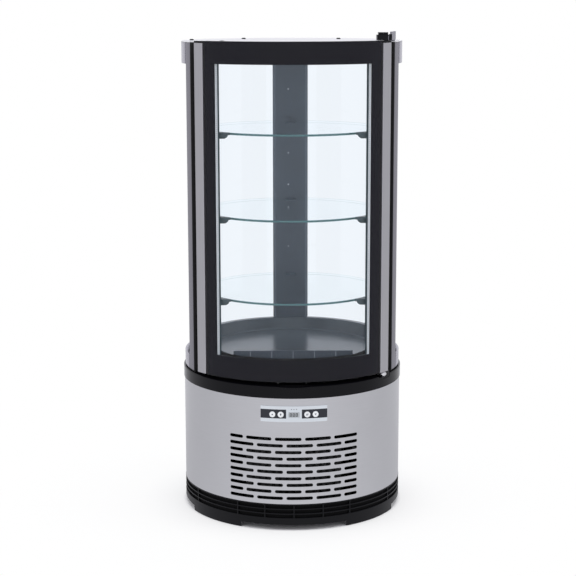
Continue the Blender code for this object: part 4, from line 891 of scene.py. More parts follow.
@dataclass
class LowerBody(Assembly):
    """Rolled steel skin with its air slots, and the power inlet in its back."""

    radius: float = 0.2250
    sheet: float = 0.0010
    low: float = 0.0540
    high: float = 0.2700
    first_row: float = 0.0661
    pitch: float = 0.01348
    rows: int = 10
    slot_height: float = 0.0065
    long: float = 0.0530
    short: float = 0.0300
    space: float = 0.0068
    opening_half: float = 0.0560
    opening: Pair = (0.2285, 0.2495)
    inlet_half: float = 0.0138
    inlet: Pair = (0.0797, 0.1003)

    def slots(self) -> list[tuple[float, float, float, float]]:
        """List the air slots.

        Returns:
            Start, length, middle height and height of each.
        """
        span = 4 * (self.long + self.space) + self.short
        found = []
        for row in range(self.rows):
            at = -span / 2
            lengths = [self.long] * 4 + [self.short]
            for length in lengths if row % 2 == 0 else lengths[::-1]:
                found.append((at, length, self.first_row + row * self.pitch, self.slot_height))
                at += length + self.space
        return found

    def build(self) -> None:
        """Make the skin and dress the inlet."""
        half = math.degrees(self.opening_half / self.radius)
        back = math.degrees(self.inlet_half / self.radius)

        def is_open(bearing: float, height: float) -> bool:
            """Tell whether a cell is the panel's opening or the inlet's."""
            if self.opening[0] < height < self.opening[1] and min(bearing, 360.0 - bearing) < half:
                return True
            return self.inlet[0] < height < self.inlet[1] and abs(bearing - 180.0) < back

        lines = stops(0.0, half, 180.0 - back, 180.0 + back, 360.0 - half, 360.0)
        levels = [self.low, *self.inlet, *self.opening, self.high]
        skin = self.add("steel_wrap", shell(self.radius - self.sheet, self.radius, lines, levels, is_open, ring=True),
                        BRUSHED_STEEL, "stainless_skin", stands_for=("steel_skin",))
        cut(skin, stadiums(self.radius, self.slots()))
        lay_normals(skin)
        # The inner faces of the skin take a dim finish: painted shade of the dark machine space.
        skin.data.materials.append(SHEET_BACK_SHADE.build())
        for face in skin.data.polygons:
            if face.normal.x * face.center.x + face.normal.y * face.center.y < -0.5 * self.radius:
                face.material_index = 1
        self.dress(SATIN_ABS, "power_inlet")


@dataclass
class ControlPanel(Assembly):
    """Printed film with four push buttons and a display window; the box behind it."""

    radius: float = 0.2253
    film: float = 0.0008
    half: float = 0.0666
    heights: Pair = (0.2230, 0.2550)
    dark_from: float = 0.0155
    dark: Pair = (0.2302, 0.2483)
    dark_lift: float = 0.00002
    dark_print: float = 0.00008
    button_at: tuple[float, ...] = (-0.0428, -0.0262, 0.0262, 0.0428)
    button_height: float = 0.2381
    button_radius: float = 0.0059
    button_length: float = 0.0070
    button_edge: float = 0.0008
    button_gap: float = 0.0004
    button_proud: float = 0.0006
    mark_lift: float = 0.0007
    mark_print: float = 0.00006
    window_half: float = 0.0103
    window: Pair = (0.2328, 0.2424)
    window_gap: float = 0.0003
    digit: Pair = (0.0042, 0.0068)
    digit_bar: float = 0.0010
    digit_at: tuple[float, ...] = (-0.0062, -0.0004, 0.0054)
    digit_lift: float = 0.00046
    digit_print: float = 0.00005
    lamp: Round = (0.0008, 0.0002, 0.0001)
    lamps: tuple[float, ...] = (-0.0050, 0.0, 0.0050)
    lamp_height: float = 0.2487

    def bearing(self, along: float) -> float:
        """Turn a length along the arc to a bearing."""
        return math.degrees(along / (self.radius + self.film))

    def radial(self, work: Solid, along: float, height: float, lift: float) -> Solid:
        """Lay a solid that was made about Z on the panel, its top outwards.

        Args:
            work: The solid, made about the origin.
            along: Its place along the arc.
            height: Its height.
            lift: Its foot, outside the film's face.

        Returns:
            The same solid, in its place.
        """
        bearing = self.bearing(along)
        return upended(work, (*polar(self.radius + self.film + lift, bearing), height), bearing)

    def patch(self, along: Pair, heights: Pair, lift: float, sheet: float) -> Solid:
        """Make a sheet that is bent to the panel.

        Args:
            along: Its ends along the arc.
            heights: Its lower and upper edge.
            lift: Its back, outside the film's face.
            sheet: Its thickness.

        Returns:
            The sheet.
        """
        back = self.radius + self.film + lift
        return swept(oblong(back, back + sheet, *heights), stops(*(self.bearing(end) for end in along)))

    def button_hole(self, along: float) -> Solid:
        """Make the cutter of a button's hole."""
        hole = turned(oblong(0.0, self.button_radius + self.button_gap, -CLEAR, CLEAR), sides=40)
        return self.radial(hole, along, self.button_height, -self.film)

    def marks(self) -> None:
        """Print a plain sign on each button: a wedge up, a bulb, two slanted bars and a wedge down."""
        tall = 0.0021
        low = 0.7 * tall
        turns = [math.tau * k / 16 for k in range(16)]
        bulb = [(0.0017 * math.cos(t), 0.0007 + 0.0017 * math.sin(t)) for t in turns]
        socket = oblong(-0.0009, 0.0009, -0.0025, -0.0014)
        up = [(-tall, -low), (tall, -low), (0.0, tall)]
        down = [(-tall, low), (0.0, -tall), (tall, low)]
        slant = [(-0.0026, -0.0018), (-0.0012, -0.0018), (0.0003, 0.0018), (-0.0011, 0.0018)]
        twin = [(x + 0.0023, y) for x, y in slant]
        signs = ([up], [bulb, socket], [slant, twin], [down])
        for number, (along, sign) in enumerate(zip(self.button_at, signs), 1):
            printed = [self.radial(prism(outline, 0.0, self.mark_print), along, self.button_height, self.mark_lift)
                       for outline in sign]
            self.add(f"button_mark_{number}", merged(*printed), MARK_INK, "panel_film", body=f"button_{number}")

    def digits(self) -> None:
        """Draw three seven-bar digits in the window."""
        side, top, bar = self.digit[0] / 2, self.digit[1] / 2, self.digit_bar
        cells = [(-side, side, h - bar / 2, h + bar / 2) for h in (-top + bar / 2, 0.0, top - bar / 2)]
        cells += [(x - bar / 2, x + bar / 2, low, high) for x in (-side + bar / 2, side - bar / 2)
                  for low, high in ((-top + bar * 1.2, -bar * 0.7), (bar * 0.7, top - bar * 1.2))]
        middle = sum(self.window) / 2
        bars = [self.patch((centre + left, centre + right), (middle + low, middle + high), self.digit_lift,
                           self.digit_print) for centre in self.digit_at for left, right, low, high in cells]
        self.add("display_digits", merged(*bars), SMOKED_ACRYLIC, "display_window")

    def build(self) -> None:
        """Make the film, its dark fields, the buttons, the window and the lamps."""
        film = self.add("panel_film", self.patch((-self.half, self.half), self.heights, -self.film, self.film),
                        PANEL_FILM, "panel_film", stands_for=("control_panel",))
        edge, gap, reach = self.window_half + self.window_gap, self.window_gap, CLEAR / 2
        window = self.patch((-edge, edge), (self.window[0] - gap, self.window[1] + gap), -self.film - reach,
                            self.film + 2 * reach)
        cut(film, window, *[self.button_hole(along) for along in self.button_at])
        lay_normals(film)
        for side in Side:
            near, far = sorted((side.value * self.dark_from, side.value * self.half))
            patch = self.patch((near, far), self.dark, self.dark_lift, self.dark_print)
            dark = self.add(f"dark_field_{side.hand}", patch, PANEL_INK, "panel_film")
            cut(dark, *[self.button_hole(along) for along in self.button_at if along * side.value > 0])
            lay_normals(dark)
        for number, along in enumerate(self.button_at, 1):
            key = self.radial(stud(self.button_radius, self.button_length, self.button_edge), along,
                              self.button_height, self.button_proud - self.button_length)
            self.add(f"push_button_{number}", key, BUTTON_SILICONE, "white_plastic", body=f"button_{number}",
                     stands_for=(f"button_{number}",))
        self.marks()
        self.dress(LCD_GLASS, "display")
        self.digits()
        for number, along in enumerate(self.lamps, 1):
            lamp = self.radial(stud(*self.lamp, sides=16), along, self.lamp_height, 0.0)
            self.add(f"status_lamp_{number}", lamp, PANEL_INK, "panel_film")
        self.dress(BOX_PLASTIC, "control_box")


@dataclass
class Collar(Assembly):
    """Gloss ring over the skin, with the deck that carries the cabin."""

    radius: float = 0.2265
    wall: float = 0.0040
    low: float = 0.2703
    deck: float = 0.2938
    sheet: float = 0.0035
    inner: float = 0.1800
    edge: float = 0.0016
    dip_half: float = 0.0340
    dip_depth: float = 0.0016
    dip_reach: Pair = (-0.016, 0.008)
    dip_past: float = 1.3
    pocket: Pair = (49.73, 60.13)
    pocket_radius: float = 0.2119
    pocket_depth: float = 0.0064

    def build(self) -> None:
        """Make the ring with its rounded rim, the pull dip and the hinge pocket."""
        wall, under, above = self.radius - self.wall, self.deck - self.sheet, self.deck + 2 * CLEAR
        profile = [(self.radius, self.low), *rounded(self.radius, self.deck, self.edge), (self.inner, self.deck),
                   (self.inner, under), (wall, under), (wall, self.low)]
        ring = self.add("gloss_collar", full_ring(profile), GLOSS_ABS, "gloss_black", stands_for=("collar_ring",))
        bow = (self.dip_half ** 2 + self.dip_depth ** 2) / (2 * self.dip_depth)
        past = self.dip_past * math.degrees(math.asin(self.dip_half / bow))
        lowest = self.deck - self.dip_depth
        scoop = [(bow * math.sin(math.radians(a)), lowest + bow - bow * math.cos(math.radians(a)))
                 for a in stops(-past, past, step=1.0)]
        scoop += [(scoop[-1][0], above), (scoop[0][0], above)]
        dip = upended(prism(scoop, *self.dip_reach), (0.0, -self.radius, 0.0))
        pocket = prism(arc(self.radius + CLEAR, *self.pocket) + arc(self.pocket_radius, *self.pocket)[::-1],
                       self.deck - self.pocket_depth, self.deck + CLEAR)
        cut(ring, dip, pocket)
        lay_normals(ring)


@dataclass
class Cabin(Assembly):
    """Bands, posts, rear glass, roof and doorway."""

    band: Pair = (0.2151, 0.2232)
    band_start: float = 71.5
    band_round: float = 0.0008
    # Height of a black strip under the foot band, a painted shadow line, and how far its face sits back from the
    # band's.
    foot_shadow_height: float = 0.0026
    shadow_strip_back: float = 0.0022
    sill: Pair = (0.1480, 0.3416)
    sill_depth: Pair = (-0.22, -0.05)
    post: Pair = (0.2065, 0.2145)
    post_span: Pair = (69.0, 88.5)
    nose: Pair = (0.2163, 0.2230)
    nose_span: Pair = (64.6, 71.4)
    # Where the black strip of painted shade at the post's front begins, and its gap to the nose.
    shade_strip_from: float = 64.2
    shade_strip_gap: float = 0.02
    post_edge: float = 0.0009
    pane: Pair = (0.2092, 0.2142)
    pane_start: float = 88.6
    pane_stop: float = 0.0386
    roof_front: float = 0.2127
    roof_front_y: float = 0.0200
    roof_front_half: float = 56.0
    roof_corner: float = 0.2
    roof_edge: float = 0.0007
    plug: Round = (0.0042, 0.0026, 0.0014)
    plugs: tuple[Pair, ...] = ((-0.2026, 0.0089), (-0.1374, -0.1333), (-0.0986, 0.1113), (0.0990, 0.0946))

    def build(self) -> None:
        """Make the cabin's shell."""
        low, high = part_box("lower_band")
        self.ring_band("foot_band", "lower_band", low[2] + self.foot_shadow_height, high[2])
        # A black rubber strip under the foot band: painted shadow where the band meets the collar.
        shadow_strip = oblong(self.nose[0], self.band[1] - self.shadow_strip_back, low[2], low[2] + self.foot_shadow_height - CONTACT)
        self.add("foot_shadow_strip", swept(shadow_strip, stops(self.nose_span[0], 360.0 - self.nose_span[0])), SEAL_RUBBER,
                 "black_rubber")
        low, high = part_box("upper_band")
        self.ring_band("head_band", "upper_band", low[2], high[2])
        stop = 180.0 - math.degrees(math.asin(self.pane_stop / self.pane[0]))
        for side in Side:
            self.upright(side)
            ends = sorted(side.value * b for b in (self.pane_start, stop))
            self.bent(f"curved_pane_{side.hand}", f"rear_glass_{side.hand}", self.pane, ends, SIDE_GLASS, "clear_glass")
        self.roof()
        self.doorway()
        self.dress(PALE_LINER, "ceiling_panel")

    def upright(self, side: Side) -> None:
        """Make one post: its front edge stands out, flush with the bands, and ends in a black strip that paints the
        shade of the gap beside the door.

        Args:
            side: The post's side.
        """
        node = f"post_{side.hand}"
        low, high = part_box(node)
        front, back = self.post_span
        near, far = self.nose_span
        outline = arc(self.post[0], front, back) + arc(self.post[1], far, back)[::-1]
        outline += arc(self.nose[1], near, far)[::-1] + arc(self.nose[0], near, front)
        # A thin black strip at the front of the nose: painted shade of the gap beside the door.
        seal = [polar(r, b) for r, b in oblong(*self.nose, self.shade_strip_from, near - self.shade_strip_gap)]
        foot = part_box("lower_band")[0][2] + self.foot_shadow_height
        self.add(f"upright_{side.hand}", prism([(side.value * x, y) for x, y in outline], max(low[2], foot), high[2]),
                 ANODISED_POST, "anodised", stands_for=(node,), soft=self.post_edge)
        self.add(f"upright_seal_{side.hand}", prism([(side.value * x, y) for x, y in seal], foot, high[2]),
                 SEAL_RUBBER, "black_rubber")

    def ring_band(self, name: str, node: str, low: float, high: float) -> None:
        """Bend one band round the case, from post to post.

        Args:
            name: The piece's name.
            node: The solid that it stands for.
            low: Height of its lower edge.
            high: Height of its upper edge.
        """
        inner, outer = self.band
        over = rounded(outer, high, self.band_round, 4)
        under = [(r, low + high - z) for r, z in over[::-1]]
        lines = stops(self.band_start, 360.0 - self.band_start)
        even(self.add(name, swept([(inner, low), *under, *over, (inner, high)], lines), ANODISED_BAND, "anodised",
                      stands_for=(node,)))

    def doorway(self) -> None:
        """Make the doorway frame from its solid, with the sill a little lower, as the glass shows it."""
        work = bmesh.new()
        work.from_mesh(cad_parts["door_surround"].data)
        bmesh.ops.remove_doubles(work, verts=work.verts, dist=WELD)
        piece = self.add("doorway_frame", work, DOORWAY_PVC, "satin_black", stands_for=("door_surround",))
        half, top = self.sill
        cut(piece, slab((-half, self.sill_depth[0], top), (half, self.sill_depth[1], top + 2 * CLEAR)))

    def roof(self) -> None:
        """Make the roof sheet and its four plugs."""
        low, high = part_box("top_plate")
        corner = self.nose_span[0]
        outline = arc(self.roof_front, -self.roof_front_half, self.roof_front_half, self.roof_front_y)
        outline += [polar(self.nose[0], corner - self.roof_corner), *arc(self.band[1], corner, 360.0 - corner),
                    polar(self.nose[0], self.roof_corner - corner)]
        self.add("roof_sheet", prism(outline, low[2], high[2]), ROOF_ENAMEL, "roof_grey", stands_for=("top_plate",),
                 soft=self.roof_edge)
        for number, (x, y) in enumerate(self.plugs, 1):
            plug = stud(*self.plug, (x, y, high[2] + CONTACT))
            self.add(f"roof_plug_{number}", plug, BLACK_SCREW, "satin_black")


@dataclass
class Inside(Assembly):
    """What shows through the glass: floor, air column, rail, shelves and their clips."""

    shelf_radius: float = 0.1820
    edge: float = 0.0006
    teal_until: float = 0.35
    floor_radius: float = 0.1800
    pan_edge: float = 0.1925
    pan_rim: float = 0.2056
    pan_sheet: float = 0.0025
    pan_half: float = 72.0
    pan_foot: tuple[Pair, ...] = ((-0.0040, 0.0), (-0.0015, 0.0006), (0.0008, 0.0030))
    pan_lip: tuple[Pair, ...] = ((-0.0010, -0.0025), (0.0006, -0.0006), (0.0025, 0.0))
    lining: float = 0.2047
    lining_y: float = 0.0200
    lining_half: float = 56.0
    shoulder: Pair = (0.1826, 62.5)
    notch_half: float = 0.0386
    notch_front: float = 0.1956
    return_half: float = 0.0760
    return_at: Pair = (-0.1610, -0.1350)
    column_front: float = 0.1962
    rail_back: float = 0.0021
    ribs: int = 5
    rib_pitch: float = 0.0430
    # Width and thickness of the painted highlight on each rib edge.
    rib_highlight_width: float = 0.0015
    rib_highlight_sheet: float = 0.0003
    rib_end: float = 0.0017
    screw: Round = (0.0016, 0.0008, 0.0004)
    screw_x: float = -0.0045
    screws: tuple[float, ...] = (0.8510, 0.7130, 0.6440, 0.5945, 0.5075, 0.4436)
    clip_room: float = 0.0004
    clip_under: float = 0.0003
    clip_nib: tuple[Pair, ...] = ((0.0, 0.0), (0.0, -0.0018), (0.0016, -0.0040))
    clip_heel: tuple[Pair, ...] = ((0.0055, 0.0004), (0.0075, 0.0))

    def build(self) -> None:
        """Make the inside of the cabin."""
        self.floor()
        for number in (1, 2, 3):
            self.shelf(number)
        low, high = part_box("shelf_rail")
        for number, height in enumerate(self.screws, 1):
            face = self.column_front - (self.rail_back if low[2] < height < high[2] else 0.0)
            screw = upended(stud(*self.screw, sides=24), (self.screw_x, face - CONTACT, height))
            self.add(f"column_screw_{number}", screw, BRIGHT_SCREW, "dark_grey")
        self.dress(SLATE_POWDER, "air_column", "shelf_rail", "air_return_baffle")
        self.rib_highlights()
        for side in Side:
            for number in (1, 2, 3):
                self.clip(side, number)
        self.dress(PALE_LINER, "insulated_tub")

    def floor(self) -> None:
        """Make the floor pan with its flared rim, air return and column notch."""
        low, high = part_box("floor_pan")
        under, top, sheet = low[2], high[2], self.pan_sheet
        floor = under + sheet
        foot, edge = self.floor_radius, self.pan_edge
        profile = [(0.0, floor), *((foot + r, floor + z) for r, z in self.pan_foot),
                   *((edge + r, top + z) for r, z in self.pan_lip), (self.pan_rim, top), (self.pan_rim, top - sheet),
                   (edge + sheet, top - sheet), (foot + sheet, under), (0.0, under)]
        pan = self.add("floor_tray", turned(profile, sides=SMOOTH), SLATE_TRAY, "dark_grey", stands_for=("floor_pan",))
        under, over, outside = under - CLEAR, top + CLEAR, 0.30
        far = [polar(outside, b) for b in stops(-self.pan_half, self.pan_half, step=6.0)]
        near = arc(self.lining, -self.lining_half, self.lining_half, self.lining_y)
        left = [polar(self.shoulder[0], -self.shoulder[1]), polar(self.pan_rim, -self.pan_half)]
        right = [polar(self.pan_rim, self.pan_half), polar(*self.shoulder)]
        front = prism(far + right + near[::-1] + left, under, over)
        notch = slab((-self.notch_half, self.notch_front, under), (self.notch_half, outside, over))
        air = slab((-self.return_half, self.return_at[0], under), (self.return_half, self.return_at[1], floor + CLEAR))
        cut(pan, front, notch, air)
        lay_normals(pan)

    def rib_highlights(self) -> None:
        """Lay a pale painted highlight along each rib edge of the baffle."""
        low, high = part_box("air_return_baffle")
        places = [(number - (self.ribs - 1) / 2) * self.rib_pitch for number in range(self.ribs)]
        half, face = self.rib_highlight_width / 2, low[1] - CONTACT
        foot, top = low[2] + self.rib_end, high[2] - self.rib_end
        edges = [slab((x - half, face - self.rib_highlight_sheet, foot), (x + half, face, top)) for x in places]
        self.add("baffle_rib_highlights", merged(*edges), RIB_HIGHLIGHT, "dark_grey")

    def clip(self, side: Side, number: int) -> None:
        """Make one shelf clip: a wedge under the glass and a low stop behind its edge.

        Args:
            side: Which jamb it is on.
            number: Which shelf, from below.
        """
        node = f"shelf_clip_{side.hand}_{number}"
        low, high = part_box(node)
        tip, wall = sorted((abs(low[0]), abs(high[0])))
        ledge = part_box(f"shelf_{number}")[0][2] - self.clip_under
        wedge = [(wall, low[2]), (wall, ledge), *((tip + x, ledge + z) for x, z in self.clip_nib),
                 *((tip + x, low[2] + z) for x, z in self.clip_heel)]
        body = upended(prism([(side.value * x, z) for x, z in wedge], 0.0, high[1] - low[1]), (0.0, high[1], 0.0))
        seat = self.shelf_radius + self.clip_room
        edge = [(side.value * math.sqrt(seat ** 2 - y ** 2), y) for y in stops(low[1], high[1], step=0.002)]
        stop = prism(edge + [(side.value * wall, high[1]), (side.value * wall, low[1])], ledge, high[2])
        self.add(f"shelf_wedge_{side.hand}_{number}", merged(body, stop), CLIP_PLASTIC, "satin_black",
                 stands_for=(node,))

    def shelf(self, number: int) -> None:
        """Make one round shelf: clear faces and a polished edge that shows teal in front.

        Args:
            number: Which shelf, from below.
        """
        node = f"shelf_{number}"
        low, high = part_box(node)
        rim, edge, deep = self.shelf_radius, self.edge, high[2] - low[2]
        profile = [(0.0, 0.0), (rim - edge, 0.0), (rim, edge), (rim, deep - edge), (rim - edge, deep), (0.0, deep)]
        shelf = self.add(f"glass_shelf_{number}", turned(profile, (0.0, 0.0, low[2]), sides=SMOOTH), SHELF_GLASS,
                         "clear_glass", stands_for=(node,))
        shelf.data.materials.append(GLASS_EDGE.build())
        shelf.data.materials.append(SHELF_RIM.build())
        for face in shelf.data.polygons:
            if abs(face.normal.z) < 0.5 and face.center.y < self.teal_until * rim:
                face.material_index = 1
            elif 0.2 < abs(face.normal.z) < 0.95:
                face.material_index = 2


@dataclass
class Door(Assembly):
    """Double glazed curved door."""

    centre_y: float = 0.0200
    outer_pane: Pair = (0.2360, 0.2400)
    inner_pane: Pair = (0.2200, 0.2240)
    pane_half: float = 47.0
    border_half: float = 39.80
    border: Pair = (0.3450, 0.9180)
    border_margin: float = 0.0003
    border_ends: float = 0.05
    ink: float = 0.0001
    core: Pair = (0.2243, 0.2357)
    core_half: float = 40.9
    core_heights: Pair = (0.3378, 0.9262)
    spacer: Pair = (0.2295, 0.2357)
    butyl: Pair = (0.2243, 0.2294)
    spacer_outer: float = 40.8
    spacer_inner: float = 39.75
    spacer_bar: float = 0.0040
    vent_pitch: float = 0.0040
    vent: float = 0.0014
    vent_depth: Pair = (0.02, 0.005)
    gasket: Pair = (0.2130, 0.2197)
    gasket_outer: float = 51.0
    gasket_inner: float = 46.6
    gasket_bar: float = 0.0140
    gasket_edge: float = 0.0018
    strip: Pair = (0.2220, 0.2400)
    strip_span: Pair = (47.08, 53.38)
    strip_edge: float = 0.0010
    buffers: tuple[float, ...] = (-0.0310, 0.0240)
    buffer: Round = (0.0016, 0.0022, 0.0006)
    buffer_radius: float = 0.2380
    buffer_drop: float = 0.0024

    def framed(self, name: str, radii: Pair, halves: Pair, levels: Sequence[float], finish: Finish, slot: str,
               stands_for: Sequence[str] = (), soft: float = 0.0) -> None:
        """Make a curved frame with one opening.

        Args:
            name: The piece's name.
            radii: Inner and outer radius.
            halves: Bearing of its ends and of the opening's ends.
            levels: Foot, sill, head and top.
            finish: Its finish.
            slot: Its material slot.
            stands_for: Solids that it stands for.
            soft: Width of its rounded edges.
        """
        half, hole = halves
        work = shell(*radii, stops(-half, -hole, hole, half), levels,
                     lambda bearing, z: abs(bearing) < hole and levels[1] < z < levels[2], self.centre_y)
        self.add(name, work, finish, slot, body="door", stands_for=stands_for, soft=soft)

    def build(self) -> None:
        """Make the door's panes, frame and trim."""
        low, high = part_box("door_glass_outer")
        for name, radii, node in (("front_pane", self.outer_pane, "door_glass_outer"),
                                  ("back_pane", self.inner_pane, "door_glass_inner")):
            self.bent(name, node, radii, (-self.pane_half, self.pane_half), DOOR_GLASS, "clear_glass", "door",
                      self.centre_y)
        back = self.outer_pane[0] - self.ink - CONTACT
        self.framed("inked_border", (back, back + self.ink), (self.pane_half - self.border_ends, self.border_half),
                    (low[2] + self.border_margin, *self.border, high[2] - self.border_margin), FIRED_INK, "satin_black")
        self.framed("pane_frame", self.core, (self.pane_half, self.core_half), (low[2], *self.core_heights, high[2]),
                    SATIN_ABS, "satin_black", ("door_frame",))
        bars = self.levels("door_spacer", self.spacer_bar)
        halves = (self.spacer_outer, self.spacer_inner)
        self.framed("perforated_spacer", self.spacer, halves, bars, SPACER_METAL, "anodised", ("door_spacer",))
        self.framed("butyl_frame", self.butyl, halves, bars, BUTYL_SEAL, "black_rubber", ("door_spacer",))
        self.vents(bars[1], bars[2])
        self.framed("door_seal", self.gasket, (self.gasket_outer, self.gasket_inner),
                    self.levels("door_gasket", self.gasket_bar), SEAL_RUBBER, "black_rubber", ("door_gasket",),
                    self.gasket_edge)
        self.trim()
        for number, x in enumerate(self.buffers, 1):
            y = self.centre_y - math.sqrt(self.buffer_radius ** 2 - x * x)
            self.add(f"door_buffer_{number}", stud(*self.buffer, (x, y, low[2] - self.buffer_drop), 24), SEAL_RUBBER,
                     "black_rubber", body="door")

    def levels(self, node: str, bar: float) -> tuple[float, float, float, float]:
        """Give the foot, sill, head and top of a frame whose level bars are equally high."""
        low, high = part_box(node)
        return (low[2], low[2] + bar, high[2] - bar, high[2])

    def vents(self, low: float, high: float) -> None:
        """Draw the row of vents down each inner side of the spacer: small dark inlays, painted shade of the holes.

        Args:
            low: Foot of the spacer's opening.
            high: Head of it.
        """
        middle, half = sum(self.spacer) / 2, self.vent / 2
        heights = [low + (k + 0.5) * self.vent_pitch for k in range(int((high - low) / self.vent_pitch))]
        for side in Side:
            ends = sorted(side.value * (self.spacer_inner - depth) for depth in self.vent_depth)
            holes = [swept(oblong(middle - half, middle + half, z - half, z + half), ends, self.centre_y)
                     for z in heights]
            self.add(f"spacer_vents_{side.hand}", merged(*holes), FIRED_INK, "satin_black", body="door")

    def trim(self) -> None:
        """Make the strips along the glass and the cap on each."""
        for side in Side:
            ends = sorted(side.value * b for b in self.strip_span)
            for kind, finish, slot in (("strip", ANODISED_STRIP, "anodised"), ("cap", GLOSS_ABS, "gloss_black")):
                self.bent(f"edge_{kind}_{side.hand}", f"door_{kind}_{side.hand}", self.strip, ends, finish, slot,
                          "door", self.centre_y, self.strip_edge)


@dataclass
class Hinges(Assembly):
    """Pivot under the door, bracket over it and its cover."""

    axis: Pair = (0.18098, -0.12707)
    knob_foot: float = 0.0047
    knob_radius: float = 0.0078
    knob: Pair = (0.2914, 0.3010)
    pin: Pair = (0.0032, 0.0130)
    dome: Pair = (-60.0, 62.0)
    dome_swell: float = 0.4992
    seam_at: float = 0.1850
    seam_half: float = 0.0005
    seam_depth: Pair = (-0.0002, 0.0010)
    seam_heights: Pair = (0.0006, 0.0090)
    tail: float = 0.0046
    tail_depth: Pair = (0.0030, -0.0010)
    tail_heights: Pair = (0.0004, -0.0036)

    def build(self) -> None:
        """Make the pivot and the cover, and dress the brackets."""
        low, high = self.knob
        tall = high - low
        top = math.sin(math.radians(self.dome[1]))
        turns = [math.radians(a) for a in stops(*self.dome, step=12.0)]
        dome = [(self.knob_radius * math.cos(t), tall * (0.5 + self.dome_swell * math.sin(t) / top)) for t in turns]
        pin, above = self.pin
        profile = [(0.0, 0.0), (self.knob_foot, 0.0), *dome, (pin, tall), (pin, tall + above), (0.0, tall + above)]
        self.add("pivot_knob", turned(profile, (*self.axis, low)), CHROME_PLATE, "chrome_knob",
                 stands_for=("hinge_pin_low",))
        self.dress(SATIN_ABS, "hinge_bracket_low", "hinge_cover")
        self.dress(PLATED_STEEL, "hinge_bracket_top")
        low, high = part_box("hinge_cover")
        (front, back), (foot, head) = self.seam_depth, self.seam_heights
        seam = slab((self.seam_at - self.seam_half, low[1] + front, low[2] + foot),
                    (self.seam_at + self.seam_half, low[1] + back, low[2] + head))
        self.add("cover_seam", seam, PLATED_STEEL, "satin_black")
        (front, back), (foot, head) = self.tail_depth, self.tail_heights
        tail = slab((high[0] + CONTACT, low[1] + front, low[2] + foot),
                    (high[0] + self.tail, high[1] + back, high[2] + head))
        self.add("cover_tail", tail, SATIN_ABS, "satin_black")


@dataclass
class Machinery(Assembly):
    """What sits behind the slots and under the floor."""

    def build(self) -> None:
        """Dress the solids of the machine space."""
        self.dress(POT_ENAMEL, "compressor")
        # The black condenser also paints the shade behind the slots.
        self.dress(BLACK_FINS, "condenser_coil")
        self.dress(BARE_FINS, "evaporator_coil")
        self.dress(DRAWN_COPPER, "discharge_pipe", "suction_pipe")
        self.dress(SATIN_ABS, "condenser_fan", "evaporator_fan")
        self.dress(GALVANISED, "condenser_fan_frame", "evaporator_fan_frame")


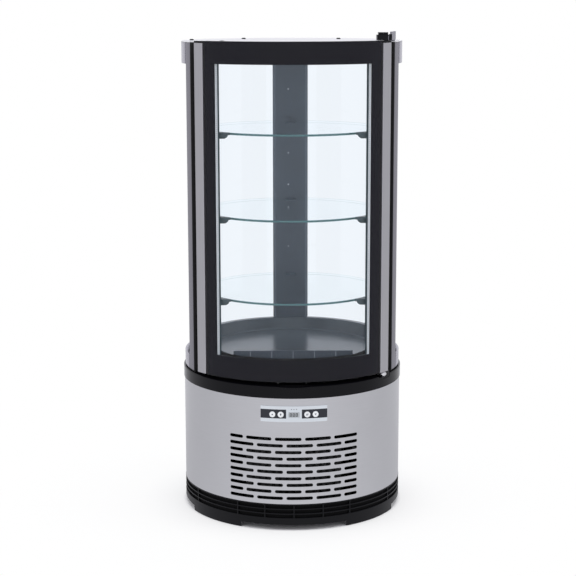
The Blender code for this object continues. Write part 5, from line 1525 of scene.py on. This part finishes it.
@dataclass
class Studio:
    """Pale paper floor, soft lights and the camera at the photograph's place."""

    camera_at: Point = (-0.0521, -3.1439, 1.0312)
    ahead: Point = (0.01372, 0.98322, -0.18191)
    right: Point = (0.99990, -0.01423, -0.00152)
    lens: float = 95.9
    sensor: float = 36.0
    floor_half: float = 14.0
    glow_reach: Pair = (0.20, 0.62)
    room: tuple[Pair, ...] = ((0.0, 0.78), (0.25, 0.70), (0.50, 0.64), (0.80, 0.64), (0.92, 0.78), (1.0, 1.0))
    room_tint: Point = (1.0, 1.003, 1.048)
    paper_glow: tuple[Pair, ...] = ((0.0, 0.0), (0.055, 0.0), (0.075, 0.62), (0.30, 0.86), (1.0, 1.0))
    soft_boxes: tuple[tuple[str, Point, Point, Pair, float], ...] = (
        ("left_box", (-2.6, -0.6, 2.0), (0.0, 0.0, 0.5), (1.4, 2.6), 22.0),
        ("right_box", (2.6, -0.4, 2.0), (0.0, 0.0, 0.5), (1.4, 2.6), 26.0),
        ("top_box", (0.0, 0.3, 3.4), (0.0, 0.0, 0.3), (2.6, 2.0), 34.0))

    def build(self) -> None:
        """Set up the stage."""
        self.paper()
        self.lights()
        self.surroundings()
        self.camera()
        scene = bpy.context.scene
        scene.view_settings.view_transform = "Standard"
        scene.cycles.max_bounces = 16
        scene.cycles.transparent_max_bounces = 32

    def tinted(self, levels: Sequence[Pair], tint: Point = (1.0, 1.0, 1.0)) -> list[tuple[float, tuple[float, ...]]]:
        """Turn the brightness at each place of a ramp to a colour.

        Args:
            levels: Places and the brightness at each.
            tint: Share of red, green and blue.

        Returns:
            Places and the colour at each.
        """
        return [(place, (*(level * share for share in tint), 1.0)) for place, level in levels]

    def room_tone(self, tree: Tree, way: Output) -> bpy.types.Node:
        """Give the room's brightness in a direction: pale in front of the case, greyer beside it, white behind.

        Args:
            tree: The node tree.
            way: The direction's node and output.

        Returns:
            The ramp's node.
        """
        split = add_node(tree, "SeparateXYZ", None, {0: way})
        depth = add_node(tree, "MapRange", {"From Min": -1.0, "From Max": 1.0}, {"Value": (split, "Y")})
        return colour_ramp(tree, (depth, "Result"), self.tinted(self.room, self.room_tint))

    def paper(self) -> None:
        """Lay the white paper; reflections see it in the room's own tone."""
        work = bmesh.new()
        half = self.floor_half
        work.faces.new([work.verts.new((x, y, 0.0)) for x, y in oblong(-half, half, -half, half)])
        sweep = new_object("paper_floor", work)
        material, tree, output = blank_material("matt_white_paper")
        place = add_node(tree, "TexCoord")
        reach = add_node(tree, "VectorMath", {"operation": "LENGTH"}, {0: (place, "Object")})
        far = add_node(tree, "MapRange", {"From Min": self.glow_reach[0], "From Max": self.glow_reach[1]},
                       {"Value": (reach, "Value")})
        share = colour_ramp(tree, (far, "Result"), self.tinted(self.paper_glow))
        matt = add_node(tree, "BsdfDiffuse", {"Color": linear("F8F8F9")})
        glow = add_node(tree, "Emission", {"Color": WHITE, "Strength": 1.0})
        paper = add_node(tree, "MixShader", None, {"Fac": (share, "Color"), 1: (matt, "BSDF"), 2: (glow, "Emission")})
        way = add_node(tree, "VectorMath", {"operation": "NORMALIZE"}, {0: (place, "Object")})
        tone = self.room_tone(tree, (way, "Vector"))
        mirrored = add_node(tree, "Emission", {"Strength": 1.0}, {"Color": (tone, "Color")})
        path = add_node(tree, "LightPath")
        both = add_node(tree, "MixShader", None,
                        {"Fac": (path, "Is Glossy Ray"), 1: (paper, "Shader"), 2: (mirrored, "Emission")})
        tree.links.new(both.outputs["Shader"], output.inputs["Surface"])
        sweep.data.materials.append(material)

    def lights(self) -> None:
        """Hang the soft boxes: each has a place, a point that it aims at, a size and a power."""
        for name, spot, aim, size, power in self.soft_boxes:
            lamp = bpy.data.lights.new(name, "AREA")
            lamp.shape = "RECTANGLE"
            lamp.size, lamp.size_y = size
            lamp.energy = power
            obj = bpy.data.objects.new(name, lamp)
            obj.location = spot
            obj.visible_glossy = False
            obj.rotation_euler = (Vector(aim) - Vector(spot)).to_track_quat("-Z", "Y").to_euler()
            bpy.context.scene.collection.objects.link(obj)

    def surroundings(self) -> None:
        """Light the room: the paper behind is plain white, reflections see the room's own tone."""
        world = bpy.data.worlds.new("studio_room")
        bpy.context.scene.world = world
        world.use_nodes = True
        tree = world.node_tree
        tree.nodes.clear()
        place = add_node(tree, "TexCoord")
        tone = self.room_tone(tree, (place, "Generated"))
        path = add_node(tree, "LightPath")
        seen = add_node(tree, "Mix", {"data_type": "RGBA", 7: WHITE},
                        {0: (path, "Is Camera Ray"), 6: (tone, "Color")})
        glow = add_node(tree, "Background", {"Strength": 1.0}, {"Color": (seen, 2)})
        output = add_node(tree, "OutputWorld", None, {"Surface": (glow, "Background")})
        output.is_active_output = True

    def camera(self) -> None:
        """Place the camera as the photograph's perspective gives it."""
        data = bpy.data.cameras.new("photo_camera")
        data.sensor_width = self.sensor
        data.lens = self.lens
        data.clip_end = 40.0
        eye = bpy.data.objects.new("photo_camera", data)
        ahead = Vector(self.ahead).normalized()
        right = Vector(self.right).normalized()
        up = right.cross(ahead)
        turn = Matrix((right, up, -ahead)).transposed().to_4x4()
        eye.matrix_world = Matrix.Translation(self.camera_at) @ turn
        bpy.context.scene.collection.objects.link(eye)
        bpy.context.scene.camera = eye


def main() -> None:
    """Build the stage and the case, and report each piece."""
    logging.basicConfig(level=logging.INFO, format="%(name)s: %(message)s")
    Studio().build()
    sections: list[Assembly] = [Base(), LowerBody(), ControlPanel(), Collar(), Cabin(), Inside(), Door(), Hinges(),
                                Machinery()]
    for section in sections:
        section.build()
        LOG.info("%s: %d pieces", type(section).__name__, len(section.made))


if __name__ == "__main__":
    main()
